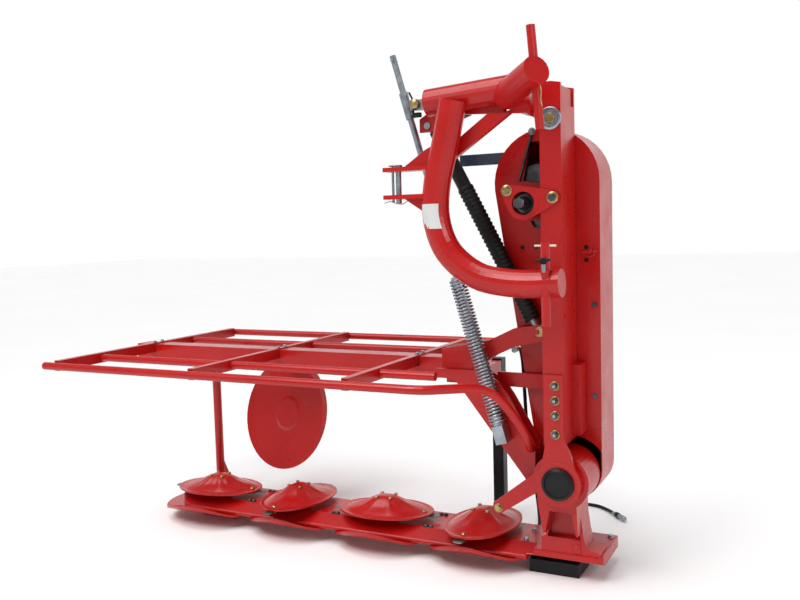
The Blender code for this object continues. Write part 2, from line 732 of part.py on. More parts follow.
def cross_tube_clearance(spare=0.2):
    return rod(*cross_tube_ends(spare), HITCH_TUBE + GAP, ROUND)


def hitch_c_tube():
    """Bent tube of the hitch with the two plates for the tractor's top link."""
    body = swept_tube(hitch_path(CROSS_Z - 0.008), HITCH_TUBE, 20)
    pin_x = CLEVIS_TIP + 0.045
    for sign in (1, -1):
        inner = CLEVIS_Z + sign * CLEVIS_GAP / 2
        outer = inner + sign * CLEVIS_PLATE
        low, high = min(inner, outer), max(inner, outer)
        plate = box((CLEVIS_TIP, HITCH_Y - 0.028, low), (-0.360, HITCH_Y + 0.028, high))
        hole = rod((pin_x, HITCH_Y, low - 0.01), (pin_x, HITCH_Y, high + 0.01), 0.0095 + GAP, 16)
        gusset = prism([(-0.490, (low + high) / 2), (-0.360, (low + high) / 2), (-0.360, outer + sign * 0.070),
                        (-0.400, outer + sign * 0.052)], HITCH_Y - 0.006, HITCH_Y + 0.006)
        body = joined(body, cut(plate, hole), gusset)
    pin = rod((LINK_PIN_X, LINK_PIN_Y, 0.7), (LINK_PIN_X, LINK_PIN_Y, 1.3), LINK_PIN_RADIUS + GAP, 16)
    add_object("hitch_c_tube", cut(body, cross_tube_clearance(), pin), red())


def hitch_cross_tube():
    add_object("hitch_cross_tube", rod(*cross_tube_ends(), HITCH_TUBE, ROUND), red())


def hitch_front_tube():
    """Short tube from the upper link pin back to the cross tube."""
    tip = Vector((LINK_PIN_X - 0.010, LINK_PIN_Y - 0.030, CROSS_Z + 0.050))
    body = rod(tip, tip + Vector(FRONT_TUBE_WAY) * 0.19, HITCH_TUBE, 24)
    clear = cross_tube_clearance()
    pin = rod(*upper_pin_ends(0.2), LINK_PIN_RADIUS + GAP, 16)
    add_object("hitch_front_tube", cut(body, clear, pin), red())


def upper_pin_ends(spare=0.0):
    """The upper link pin leans a little towards the outer end."""
    low = Vector((LINK_PIN_X - 0.011, LINK_PIN_Y, LOWER_LEG_Z + LINK_SPACING - 0.169))
    high = Vector((LINK_PIN_X - 0.037, LINK_PIN_Y, LOWER_LEG_Z + LINK_SPACING + 0.145))
    way = (high - low).normalized()
    return low - way * spare, high + way * spare


def link_pins():
    add_object("link_pin_upper", rod(*upper_pin_ends(), LINK_PIN_RADIUS, 16), red())
    add_object("link_pin_lower", rod((LINK_PIN_X, LINK_PIN_Y, LOWER_LEG_Z - 0.128),
                                     (LINK_PIN_X, LINK_PIN_Y, LOWER_LEG_Z + 0.130), LINK_PIN_RADIUS, 16), red())


def hitch_brace():
    """Flat bar across the corner between the upright and the web under the cross tube."""
    corners = [(-0.196, -0.051), (-0.333, -0.147), (-0.328, -0.197), (-0.121, -0.057)]
    body = prism([(x, CROSS_Z + z) for x, z in corners], HITCH_Y + 0.039, CROSS_Y + 0.006 - GAP)
    body = cut(body, cross_tube_clearance(), swept_tube(hitch_path(CROSS_Z), HITCH_TUBE + GAP, 20))
    add_object("hitch_brace", body, red())


def pivot_lug():
    """Block welded behind the cross tube, turning on the pin between the mast's ears."""
    low = MAST_FRONT + EAR_THICK + 0.001
    high = MAST_BACK - EAR_THICK - 0.001
    edge = MAST_LEFT - 0.008
    lean = math.tan(math.radians(14))
    top = CROSS_Z + 0.060
    bottom = PIVOT_Z + 0.030
    between = prism(arc((PIVOT_X, PIVOT_Z), 0.022, -130, 50, 10)
                    + [(edge - 0.010, PIVOT_Z + 0.055), (edge - 0.050, PIVOT_Z + 0.055), (edge - 0.050, bottom)],
                    low, high)
    beside = prism([(edge - 0.006, bottom), (edge - (top - PIVOT_Z) * lean, top), (edge - 0.070, top),
                    (edge - 0.070, bottom)], CROSS_Y, high)
    web = prism([(WEB_LEFT, CROSS_Z - 0.046), (edge - 0.006, CROSS_Z - 0.060), (edge - 0.006, CROSS_Z),
                 (WEB_LEFT, CROSS_Z)], CROSS_Y + 0.006, CROSS_Y + 0.016)
    pin = rod((PIVOT_X, -0.4, PIVOT_Z), (PIVOT_X, 0.2, PIVOT_Z), PIVOT_RADIUS + GAP)
    front = Vector((LINK_PIN_X - 0.010, LINK_PIN_Y - 0.030, CROSS_Z + 0.050))
    tube = rod(front, front + Vector(FRONT_TUBE_WAY) * 0.21, HITCH_TUBE + GAP, 24)
    add_object("pivot_lug", cut(joined(between, beside, web), cross_tube_clearance(), pin, tube), red())


def top_link_pin():
    low = CLEVIS_Z - CLEVIS_GAP / 2 - CLEVIS_PLATE - 0.014
    high = CLEVIS_Z + CLEVIS_GAP / 2 + CLEVIS_PLATE + 0.008
    x = CLEVIS_TIP + 0.045
    add_object("top_link_pin", rod((x, HITCH_Y, low), (x, HITCH_Y, high), 0.0095, 16), zinc())


def cylinder_anchor():
    """Lug plates under the cross tube's end for the lift cylinder, with the spring's trunnion arm."""
    x, z = CYLINDER_TOP
    low = CYLINDER_Y - 0.056
    plate = prism([(x - 0.030, z - 0.022), (x + 0.018, z - 0.022), (CROSS_LEFT + 0.10, CROSS_Z - 0.035),
                   (CROSS_LEFT + 0.10, CROSS_Z + 0.02), (CROSS_LEFT + 0.005, CROSS_Z + 0.02), (x - 0.030, z + 0.024)],
                  low, low + 0.012)
    tab = box((CROSS_LEFT + 0.03, CROSS_Y, CROSS_Z - 0.022), (CROSS_LEFT + 0.09, low + 0.001, CROSS_Z + 0.018))
    body = cut(joined(plate, tab), cross_tube_clearance())
    near = low + 0.011
    pin = rod((x, near, z), (x, CYLINDER_Y + 0.030, z), 0.0095, 16)
    add_object("cylinder_anchor", joined(body, pin), red())


def along(start, end, distance, y):
    """Point at a distance from start towards end, both (x, z), in a plane of constant y."""
    way = Vector((end[0] - start[0], end[1] - start[1])).normalized()
    return (start[0] + way.x * distance, y, start[1] + way.y * distance)


def lift_cylinder():
    """Barrel hung from the hitch, the rod to the bar's lever, and the pleated sleeve round both."""
    top, eye, y = CYLINDER_TOP, CYLINDER_EYE, CYLINDER_Y
    length = math.dist(top, eye)

    def at(distance):
        return along(top, eye, distance, y)

    ear = rod((top[0], y - 0.014, top[1]), (top[0], y + 0.014, top[1]), 0.022, 20)
    barrel = rod(at(0.016), at(length - 0.085), BARREL_RADIUS, 24)
    body = joined(barrel, ear)
    body = cut(body, rod((top[0], y - 0.1, top[1]), (top[0], y + 0.1, top[1]), 0.0095 + GAP, 16))
    inside = rod(at(0.20), at(length), ROD_RADIUS + GAP, 20)
    add_object("cylinder_barrel", cut(body, inside), black(), origin=(top[0], y, top[1]))
    sleeve_start, sleeve_end = 0.245, length - 0.045
    profile = [(BARREL_RADIUS + GAP, 0), (BELLOWS_RADIUS, 0), (BELLOWS_RADIUS, sleeve_end - sleeve_start),
               (BARREL_RADIUS + GAP, sleeve_end - sleeve_start)]
    add_object("cylinder_bellows", turned(profile, at(sleeve_start), at(length)), black("bellows_rubber", 0.7))
    stem = rod(at(0.205), at(length - 0.012), ROD_RADIUS, 20)
    eye_ring = rod((eye[0], y - 0.012, eye[1]), (eye[0], y + 0.012, eye[1]), 0.022, 20)
    pin = rod((eye[0], y - 0.0142, eye[1]), (eye[0], y + 0.0142, eye[1]), 0.0095, 16)
    add_object("cylinder_rod", joined(stem, eye_ring, pin), zinc(), origin=(eye[0], y, eye[1]))


def relief_spring():
    """Sleeve that pivots on the hitch, the rod that slides through it, and the tension spring."""
    top, eye, y = SPRING_TOP, SPRING_EYE, SPRING_Y
    length = math.dist(top, eye)

    def at(distance):
        return along(top, eye, distance, y)

    half = SLEEVE_LENGTH / 2
    profile = [(SPRING_ROD_RADIUS + GAP, 0), (SLEEVE_RADIUS, 0), (SLEEVE_RADIUS, SLEEVE_LENGTH),
               (SPRING_ROD_RADIUS + GAP, SLEEVE_LENGTH)]
    sleeve = turned(profile, at(-half), at(half))
    arm = box((top[0] + 0.012, y - 0.010, top[1] - 0.018), (CROSS_LEFT - GAP, y + 0.010, top[1] + 0.018))
    bore = rod(at(-0.2), at(0.2), SPRING_ROD_RADIUS + GAP)
    sleeve = cut(joined(sleeve, arm), bore)
    add_object("spring_sleeve", sleeve, zinc(), origin=(top[0], y, top[1]))
    rod_end = length - SPRING_LENGTH - 0.035
    stem = rod(at(-ROD_ABOVE), at(rod_end), SPRING_ROD_RADIUS)
    cross = at(-ROD_ABOVE + 0.018)
    pin = rod((cross[0], cross[1] - 0.020, cross[2]), (cross[0], cross[1] + 0.020, cross[2]), 0.005, 12)
    add_object("spring_rod", joined(stem, pin), zinc(), origin=at(0))
    spring = rod(at(rod_end + GAP), at(length - 0.035), SPRING_RADIUS)
    add_object("relief_spring", spring, zinc())
    way = (Vector(at(1)) - Vector(at(0))).normalized()
    block = box((-0.026, -0.020, length - 0.035 + GAP), (0.026, 0.020, length + 0.028))
    turn = way.to_track_quat("Z", "Y").to_matrix().to_4x4()
    bmesh.ops.transform(block, matrix=Matrix.Translation(Vector(at(0))) @ turn, verts=block.verts)
    face = GUSSET_FRONT - GUSSET_THICK / 2 - GAP
    pin = rod((eye[0], y - 0.026, eye[1]), (eye[0], face, eye[1]), 0.011, 16)
    add_object("spring_clevis", joined(block, pin), zinc(), origin=(eye[0], y, eye[1]))


# ---------------------------------------------------------------- gussets and levers on the bar

def gusset_frame():
    """Two side plates from the guard beam's end down to the gearbox, tied by a web, with the spring's pin."""
    outline = [(-0.475, 0.672), (-0.400, 0.660), (-0.378, 0.633), (-0.150, 0.338), (-0.140, 0.325), (-0.110, 0.312), (-0.108, 0.455), (-0.200, 0.612), (-0.235, 0.662),
               (-0.300, 0.700), (-0.475, 0.700)]
    low = GUSSET_FRONT - GUSSET_THICK / 2
    high = GUSSET_BACK + GUSSET_THICK / 2
    front = prism(outline, low, low + GUSSET_THICK)
    back = prism(outline, high - GUSSET_THICK, high)
    web = box((-0.140, low + 0.002, 0.340), (-0.112, high - 0.002, 0.430))
    head = box((-0.460, low + 0.002, 0.672), (-0.330, high - 0.002, 0.698))
    link = prism([(-0.260, 0.640), (-0.058, 0.636), (-0.058, 0.686), (-0.260, 0.690)], high - GUSSET_THICK, high)
    arm = box((-0.460, high - 0.004, 0.640), (-0.400, BEAM_FRONT - GAP, 0.698))
    drum = rod((0, -0.5, HINGE_Z), (0, 0.5, HINGE_Z), DRUM_RADIUS + GAP, 40)
    add_object("gusset_frame", cut(joined(front, back, web, head, link, arm), drum), red())


def lever_frame():
    """Two bent flat bars with the bolt that holds the cylinder's eye."""
    outline = [(-0.455, 0.7006), (-0.330, 0.7006), (-0.255, 0.752), (-0.184, 0.785), (-0.072, 0.812), (-0.072, 0.866),
               (-0.183, 0.850), (-0.275, 0.805), (-0.455, 0.770)]
    body = None
    for side in (-1, 1):
        inner = CYLINDER_Y + side * 0.0145
        outer = inner + side * LEVER_THICK
        bar = prism(outline, min(inner, outer), max(inner, outer))
        body = joined(body, bar) if body else bar
    x, z = CYLINDER_EYE
    head = rod((x, CYLINDER_Y - 0.031, z), (x, CYLINDER_Y - 0.020, z), 0.0095, 6)
    nut = rod((x, CYLINDER_Y + 0.020, z), (x, CYLINDER_Y + 0.031, z), 0.0095, 6)
    tie = box((-0.450, CYLINDER_Y - 0.020, 0.705), (-0.400, CYLINDER_Y + 0.020, 0.750))
    add_object("lever_frame", joined(body, head, nut, tie), red())


def side_lug():
    """Short arm from the gearbox's side down over the last disc."""
    outline = [(-0.086, 0.306), (-0.086, 0.378), (-0.238, 0.256), (-0.240, 0.236), (-0.220, 0.216)]
    add_object("side_lug", cut(prism(outline, -0.185, -0.170), rod((0, -0.5, HINGE_Z), (0, 0.5, HINGE_Z),
                                                                 DRUM_RADIUS + GAP, 40)), red())


# ---------------------------------------------------------------- swath guard frame

def cross_bar_box(x, spare=0.0):
    width, height = CROSS_BAR_SIZE
    front = RAIL_Y[0] + RAIL_RADIUS + GAP
    back = RAIL_Y[3] - RAIL_RADIUS - GAP
    return box((x - width / 2 - spare, front, RAIL_Z - height / 2 - spare),
               (x + width / 2 + spare, back, RAIL_Z + height / 2 + spare))


def guard_beam():
    """Hollow-section beam, solid here, with a slot for each cross bar."""
    body = box((BEAM_LEFT, BEAM_FRONT, BEAM_TOP - BEAM_SIZE), (BEAM_RIGHT, BEAM_FRONT + BEAM_SIZE, BEAM_TOP))
    body = joined(body, box((BEAM_RIGHT - 0.01, BEAM_FRONT, BEAM_TOP - BEAM_SIZE),
                            (LEG_X + 0.03, BEAM_FRONT + BEAM_SIZE, BEAM_TOP - 0.008)))
    add_object("guard_beam", cut(body, *[cross_bar_box(x, GAP) for x in CROSS_BARS_X]), red())


def cross_bars():
    for number, x in enumerate(CROSS_BARS_X, 1):
        holes = []
        for y in RAIL_Y[1:3]:
            holes.append(rod((x - 0.1, y, RAIL_Z), (x + 0.1, y, RAIL_Z), RAIL_RADIUS + 0.0005, 16))
        add_object(f"cross_bar_{number}", cut(cross_bar_box(x), *holes), red())


def guard_rails():
    ends = {"rail_front_inner": (RAIL_Y[1], -0.427), "rail_rear_inner": (RAIL_Y[2], -0.47),
            "rail_rear_outer": (RAIL_Y[3], -0.47)}
    for name, (y, right) in ends.items():
        add_object(name, rod((RAIL_LEFT + 0.02, y, RAIL_Z), (right, y, RAIL_Z), RAIL_RADIUS, 16), red())
    y = RAIL_Y[0]
    foot_y = GUSSET_FRONT - GUSSET_THICK / 2 - RAIL_RADIUS - 0.002
    points = [(RAIL_LEFT, y, RAIL_Z), (-1.2, y, RAIL_Z), (-0.70, y, RAIL_Z), (-0.50, y, RAIL_Z),
              (-0.37, y + 0.004, RAIL_Z), (-0.30, y + 0.055, RAIL_Z - 0.002), (-0.245, y + 0.120, RAIL_Z - 0.008),
              (-0.205, y + 0.170, RAIL_Z - 0.025), (-0.167, y + 0.205, RAIL_Z - 0.067),
              (-0.132, y + 0.242, RAIL_Z - 0.134), (-0.108, y + 0.262, RAIL_Z - 0.188),
              (-0.109, y + 0.294, RAIL_Z - 0.230), (-0.117, foot_y, RAIL_Z - 0.245)]
    add_object("rail_front_outer", swept_tube(smooth_path(points, 0.026), RAIL_RADIUS, 16), red())


def guard_post():
    """Upright behind the bar's free end, clear of the knives, on a plate from the bar up to the beam."""
    x, y = POST_X, POST_Y
    top = BEAM_TOP - 0.030
    foot = 0.058
    tube = rod((x, y, foot), (x, y, top), POST_RADIUS)
    edge = HOUSING_BACK + GAP
    plate = prism([(x + 0.32, edge), (x + 0.02, y + 0.024), (x - 0.02, y + 0.018), (x - 0.022, y - 0.018),
                   (x + 0.16, edge)], foot, foot + 0.012, "Z")
    gusset = prism([(x + 0.008, foot + 0.010), (x + 0.060, foot + 0.010), (x + 0.012, foot + 0.110)], y - 0.004, y + 0.004)
    arm = box((x - 0.013, BEAM_FRONT + BEAM_SIZE + GAP, top - 0.040), (x + 0.013, y, top - 0.006))
    add_object("guard_post", joined(tube, plate, gusset, arm), red())


def swath_disc():
    """Dished disc that turns on a hub, hung from the beam."""
    centre = Vector(SWATH_CENTRE)
    turn = math.radians(SWATH_TURN)
    tilt = math.radians(SWATH_TILT)
    way = Vector((math.sin(turn) * math.cos(tilt), -math.cos(turn) * math.cos(tilt), math.sin(tilt)))
    radius = SWATH_RADIUS
    profile = [(0, 0.006), (0.060, 0.006), (0.075, 0.002), (0.100, 0.002), (radius - 0.030, 0.010), (radius, 0.018),
               (radius, 0.021), (radius - 0.030, 0.013), (0.100, 0.006), (0.077, 0.006), (0.062, 0.010), (0, 0.010)]
    hub_profile = [(0, -0.030), (0.022, -0.030), (0.022, 0.008), (0, 0.008)]
    disc = joined(turned(profile, centre, centre + way, 48), turned(hub_profile, centre, centre + way))
    add_object("swath_disc", disc, red(), origin=centre)
    back = centre - way * 0.030
    start = back - way * GAP
    end = start - way * 0.030
    boss = rod(start, end, 0.026)
    behind = end.y + 0.050
    shelf = BEAM_TOP - 0.062
    hanger = box((end.x - 0.028, behind - 0.012, end.z - 0.030), (end.x + 0.028, behind, shelf + 0.012))
    stem = rod(end + way * 0.010, (end.x, behind - 0.004, end.z + 0.004), 0.018)
    arm = box((end.x - 0.028, BEAM_FRONT + BEAM_SIZE + GAP, shelf), (end.x + 0.028, behind, shelf + 0.012))
    add_object("swath_hanger", joined(boss, stem, hanger, arm), red())


def parking_leg():
    """Square leg on a pivot behind the beam, standing on a small foot."""
    half = LEG_SIZE / 2
    tube = box((LEG_X - half, LEG_Y - half, 0.004), (LEG_X + half, LEG_Y + half, LEG_TOP))
    foot = box((LEG_X - 0.030, LEG_Y - 0.030, 0.0), (LEG_X + 0.030, LEG_Y + 0.030, 0.008))
    hole = rod((LEG_X, LEG_Y - 0.2, LEG_TOP - 0.03), (LEG_X, LEG_Y + 0.2, LEG_TOP - 0.03), 0.009 + GAP, 16)
    add_object("parking_leg", cut(joined(tube, foot), hole), black(), origin=(LEG_X, LEG_Y, LEG_TOP - 0.03))
    pivot = LEG_TOP - 0.03
    front = BEAM_FRONT + BEAM_SIZE + GAP
    left = LEG_X - half
    stub = box((left, front, pivot - 0.022), (LEG_X + half, LEG_Y - half - 0.006, pivot + 0.022))
    pin = rod((LEG_X, LEG_Y - half - 0.012, pivot), (LEG_X, LEG_Y + half + 0.012, pivot), 0.009, 16)
    head = rod((LEG_X, LEG_Y + half + 0.002, pivot), (LEG_X, LEG_Y + half + 0.012, pivot), 0.016, 16)
    add_object("leg_bracket", joined(stub, pin, head), red())


# ---------------------------------------------------------------- hydraulic hose

def hose():
    """Hose of the lift cylinder: from its fitting behind the lever down to the floor, with a coupler on its end."""
    start = Vector(HOSE_ROUTE[0])
    seat = CYLINDER_Y + 0.0145 + LEVER_THICK + GAP
    add_object("hose_fitting", rod((start.x, seat, start.z), start - Vector((0, 0.0010, 0)), 0.010, 16), zinc())
    path = smooth_path(HOSE_ROUTE, 0.030)
    curve = bpy.data.curves.new("hydraulic_hose", "CURVE")
    curve.dimensions = "3D"
    curve.bevel_depth = HOSE_RADIUS
    curve.bevel_resolution = 3
    curve.use_fill_caps = True
    spline = curve.splines.new("POLY")
    spline.points.add(len(path) - 1)
    for point, place in zip(spline.points, path):
        point.co = (*place, 1.0)
    curve.materials.append(black("hose_rubber", 0.6))
    obj = bpy.data.objects.new("hydraulic_hose", curve)
    bpy.context.collection.objects.link(obj)
    end = Vector(COUPLER_END)
    way = (end - path[-1]).normalized()
    length = (end - path[-1]).length - 0.001
    profile = [(0, 0), (0.0068, 0), (0.0068, 0.022), (0.0100, 0.024), (0.0100, 0.050), (0.0068, 0.052),
               (0.0068, length - 0.030), (0.0105, length - 0.028), (0.0105, length - 0.004), (0.008, length), (0, length)]
    add_object("hose_coupler", turned(profile, path[-1] + way * 0.001, end, 16), zinc())


# ---------------------------------------------------------------- the model

def main():
    clear_scene()
    packing_block()
    skids()
    outer_shoe()
    bar_housing()
    for index in range(DISC_COUNT):
        cutting_disc(index)
    gearbox()
    hinge_parts()
    arm_mast()
    pivot_pin()
    belt_guard()
    bearing_carrier()
    input_drive()
    guard_stay()
    hitch_c_tube()
    hitch_cross_tube()
    hitch_front_tube()
    link_pins()
    hitch_brace()
    pivot_lug()
    top_link_pin()
    cylinder_anchor()
    lift_cylinder()
    relief_spring()
    gusset_frame()
    lever_frame()
    side_lug()
    guard_beam()
    cross_bars()
    guard_rails()
    guard_post()
    swath_disc()
    parking_leg()
    hose()


main()
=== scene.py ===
"""Looks of the four-disc mower: paints, plating, bolts, spring, pleats, discs and the studio around them.

Metres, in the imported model's frame: +X along the cutter bar to the gearbox, -Y the tractor's side, +Z up.
"""
import json
import math

import bmesh
import bpy
from mathutils import Matrix, Vector


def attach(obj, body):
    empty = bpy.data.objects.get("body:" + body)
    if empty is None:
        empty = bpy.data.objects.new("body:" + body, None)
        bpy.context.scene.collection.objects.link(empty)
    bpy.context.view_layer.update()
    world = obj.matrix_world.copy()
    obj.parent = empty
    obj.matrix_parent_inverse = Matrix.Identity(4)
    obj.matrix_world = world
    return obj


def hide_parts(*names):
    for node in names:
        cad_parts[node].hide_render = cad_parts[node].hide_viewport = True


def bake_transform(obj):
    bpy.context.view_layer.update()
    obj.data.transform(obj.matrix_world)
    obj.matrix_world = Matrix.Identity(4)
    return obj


UP = (0, 0, 1)
FRONT = (0, -1, 0)

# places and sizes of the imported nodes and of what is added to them
DISC_XS = (-1.535, -1.135, -0.735, -0.335)
DISC_Y = -0.035
DISC_UNDER = 0.1216
DISC_LONG = 0.190
DISC_SHORT = 0.128
DISC_ROUND = 0.165             # radius of the raised round part
DISC_TURN = 5.0                # degrees, about the disc's axis
DISC_SIDES = 120
DISC_STEPS = [                 # share of the disc's radius, and height over its underside
    (1.00, 0.0035), (1.00, 0.0085), (0.985, 0.0095), (0.93, 0.0075), (0.88, 0.0080), (0.80, 0.0145),
    (0.72, 0.0200), (0.64, 0.0245), (0.56, 0.0290), (0.50, 0.0330), (0.43, 0.0400), (0.36, 0.0470),
    (0.29, 0.0530), (0.22, 0.0580), (0.15, 0.0605), (0.07, 0.0612),
]
KNIFE_TIP = 0.215
KNIFE_BOLT = 0.156             # the bolt's distance from the disc's centre
KNIFE_BOLT_HEAD = [(0, 0), (0.0105, 0), (0.0105, 0.0015), (0.0085, 0.0040), (0.0045, 0.0058), (0, 0.0060)]
HINGE_Z = 0.355
MAST_FRONT = -0.205
SPRING_TOP = Vector((-0.545, -0.150, 1.628))
SPRING_EYE = Vector((-0.216, -0.150, 0.487))
SPRING_LENGTH = 0.53
SPRING_EYE_GAP = 0.035
SPRING_WIRE = 0.0038
SPRING_PITCH = 0.0115
COIL_RADIUS = 0.0258
CYLINDER_TOP = Vector((-0.475, -0.080, 1.556))
CYLINDER_EYE = Vector((-0.100, -0.080, 0.840))
PLEATS = 30
PIVOT_X = -0.013
PIVOT_Z = 1.538
CLEVIS_Z = 1.352
CLEVIS_HALF_GAP = 0.0385
CLEVIS_PLATE = 0.014
CROSS_BAR_XS = (-1.995, -1.310, -0.655)
BAR_TOP = 0.0998
BAR_BOLTS_FROM = -1.70         # the housing's ends, which no bolt stands past
BAR_BOLTS_TO = -0.17
UPPER_BELT_RADIUS = 0.142
LOWER_BELT_RADIUS = 0.092
BELT_RADIUS = 0.0065
BELT_YS = (0.002, 0.030, 0.058)
SHAFT = Vector((-0.105, -0.262, 1.273))
HOSE_RADIUS = 0.0065
COUPLER_END = (0.058, 0.505, 0.016)
HOSE_ROUTE = [
    (-0.200, -0.030, 0.768), (-0.200, -0.008, 0.768), (-0.200, 0.018, 0.752), (-0.201, 0.040, 0.705),
    (-0.203, 0.058, 0.620), (-0.205, 0.080, 0.500), (-0.207, 0.112, 0.380), (-0.209, 0.160, 0.265),
    (-0.212, 0.215, 0.165), (-0.218, 0.255, 0.085), (-0.228, 0.290, 0.030), (-0.240, 0.325, 0.010),
    (-0.254, 0.370, 0.007), (-0.264, 0.430, 0.007), (-0.260, 0.500, 0.007), (-0.238, 0.575, 0.007),
    (-0.198, 0.635, 0.007), (-0.145, 0.660, 0.007), (-0.088, 0.652, 0.008), (-0.040, 0.615, 0.010),
    (-0.005, 0.575, 0.013),
]

# the camera, fitted to the photograph, and the lamps
CAMERA_PLACE = (0.807, -2.917, 1.203)
CAMERA_TURNS = (26.85, -4.72, -1.59)        # yaw, pitch and roll, in degrees
CAMERA_LENS = 39.015
# name, place, size and power
AREA_LAMPS = [("key", (-2.2, -3.8, 4.4), 1.6, 60), ("side", (3.4, -2.0, 3.0), 1.4, 45)]
LAMP_TARGET = Vector((-0.6, 0, 0.7))
SKY_ENERGY = 2.5
SKY_ANGLE = 50                 # degrees, wide for soft shadows
SKY_WAY = Vector((0.25, 0.35, -1.0))

# shapes of the details
WELD_RADIUS = 0.0032
WELD_STEP = 0.004
SHARP_ANGLE = 35.0             # degrees between faces from which an edge shows
CURVE_STEPS = 20               # between two points of a smooth path
COIL_STEPS = 20                # per turn of the spring

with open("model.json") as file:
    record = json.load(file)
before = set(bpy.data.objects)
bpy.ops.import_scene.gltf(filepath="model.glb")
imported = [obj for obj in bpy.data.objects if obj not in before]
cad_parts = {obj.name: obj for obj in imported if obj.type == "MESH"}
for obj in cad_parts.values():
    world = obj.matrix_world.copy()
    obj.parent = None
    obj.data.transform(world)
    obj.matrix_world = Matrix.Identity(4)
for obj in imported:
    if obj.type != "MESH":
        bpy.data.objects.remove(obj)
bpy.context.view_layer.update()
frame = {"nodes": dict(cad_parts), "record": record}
NODES = frame["nodes"]


# ---------------------------------------------------------------- camera

def make_camera():
    yaw, pitch, roll = (math.radians(turn) for turn in CAMERA_TURNS)
    forward = Vector((-math.sin(yaw) * math.cos(pitch), math.cos(yaw) * math.cos(pitch), math.sin(pitch)))
    right = Vector((math.cos(yaw), math.sin(yaw), 0))
    up = right.cross(forward)
    turned_right = right * math.cos(roll) + up * math.sin(roll)
    turned_up = up * math.cos(roll) - right * math.sin(roll)
    data = bpy.data.cameras.new("camera")
    data.lens = CAMERA_LENS
    data.sensor_width = 36.0
    data.clip_start = 0.05
    camera = bpy.data.objects.new("camera", data)
    bpy.context.scene.collection.objects.link(camera)
    matrix = Matrix((turned_right, turned_up, -forward)).transposed().to_4x4()
    matrix.translation = CAMERA_PLACE
    camera.matrix_world = matrix
    bpy.context.scene.camera = camera


# ---------------------------------------------------------------- materials

class Look:
    """A Principled material that is built node by node."""

    def __init__(self, name, colour, roughness, metallic=0.0, coat=0.0, specular=0.5):
        self.material = bpy.data.materials.new(name)
        self.material.use_nodes = True
        self.tree = self.material.node_tree
        self.shader = self.tree.nodes["Principled BSDF"]
        self.colour = colour
        self.shader.inputs["Base Color"].default_value = (*colour, 1)
        self.shader.inputs["Roughness"].default_value = roughness
        self.shader.inputs["Metallic"].default_value = metallic
        self.shader.inputs["Coat Weight"].default_value = coat
        self.shader.inputs["Specular IOR Level"].default_value = specular
        self.shader.inputs["Coat Roughness"].default_value = 0.06
        self.coordinates = self.node("ShaderNodeTexCoord").outputs["Object"]
        self.height = None

    def node(self, kind, **inputs):
        made = self.tree.nodes.new(kind)
        for name, value in inputs.items():
            made.inputs[name.replace("_", " ")].default_value = value
        return made

    def link(self, start, end):
        self.tree.links.new(start, end)

    def noise(self, scale, detail=3.0, stretch=None):
        made = self.node("ShaderNodeTexNoise", Scale=scale, Detail=detail)
        source = self.coordinates
        if stretch:
            mapping = self.node("ShaderNodeMapping", Scale=stretch)
            self.link(source, mapping.inputs["Vector"])
            source = mapping.outputs["Vector"]
        self.link(source, made.inputs["Vector"])
        return made.outputs["Fac"]

    def ramp(self, source, stops):
        made = self.node("ShaderNodeValToRGB")
        elements = made.color_ramp.elements
        while len(elements) < len(stops):
            elements.new(0.5)
        for element, (place, colour) in zip(elements, stops):
            element.position = place
            element.color = (*colour, 1) if len(colour) == 3 else (colour[0],) * 3 + (1,)
        self.link(source, made.inputs["Fac"])
        return made.outputs["Color"]

    def vary_colour(self, scale, dark, light):
        shades = [tuple(c * k for c in self.colour) for k in (dark, light)]
        out = self.ramp(self.noise(scale), [(0.35, shades[0]), (0.65, shades[1])])
        self.link(out, self.shader.inputs["Base Color"])

    def vary_roughness(self, scale, low, high):
        out = self.ramp(self.noise(scale), [(0.35, (low,)), (0.65, (high,))])
        self.link(out, self.shader.inputs["Roughness"])

    def bump(self, scale, strength, distance, stretch=None):
        made = self.node("ShaderNodeBump", Strength=strength, Distance=distance)
        self.link(self.noise(scale, detail=2.0, stretch=stretch), made.inputs["Height"])
        if self.height:
            self.link(self.height, made.inputs["Normal"])
        self.height = made.outputs["Normal"]
        self.link(self.height, self.shader.inputs["Normal"])


def red_enamel():
    look = Look("red_enamel", (0.43, 0.0045, 0.0035), 0.32, coat=0.15, specular=0.35)
    look.vary_colour(3.0, 0.92, 1.05)
    look.vary_roughness(9.0, 0.26, 0.38)
    look.bump(260.0, 0.10, 0.0006)
    look.bump(16.0, 0.08, 0.002)
    return look.material


def black_enamel():
    look = Look("black_enamel", (0.005, 0.005, 0.006), 0.34, specular=0.25)
    look.vary_colour(6.0, 0.7, 1.6)
    look.vary_roughness(14.0, 0.32, 0.5)
    look.bump(180.0, 0.12, 0.0006)
    return look.material


def black_rubber():
    look = Look("black_rubber", (0.006, 0.006, 0.006), 0.5, specular=0.22)
    look.vary_colour(30.0, 0.7, 1.5)
    look.bump(400.0, 0.15, 0.0004)
    return look.material


def zinc_plate():
    look = Look("zinc_plate", (0.34, 0.37, 0.41), 0.34, metallic=1.0)
    look.vary_colour(30.0, 0.85, 1.10)
    look.vary_roughness(40.0, 0.28, 0.42)
    look.bump(240.0, 0.06, 0.0003)
    return look.material


def yellow_zinc():
    look = Look("yellow_zinc", (0.40, 0.29, 0.13), 0.34, metallic=1.0)
    look.vary_colour(55.0, 0.75, 1.15)
    look.vary_roughness(60.0, 0.22, 0.42)
    return look.material


def dark_steel():
    look = Look("dark_steel", (0.10, 0.10, 0.11), 0.36, metallic=1.0)
    look.vary_colour(30.0, 0.7, 1.3)
    look.bump(200.0, 0.12, 0.0004)
    return look.material


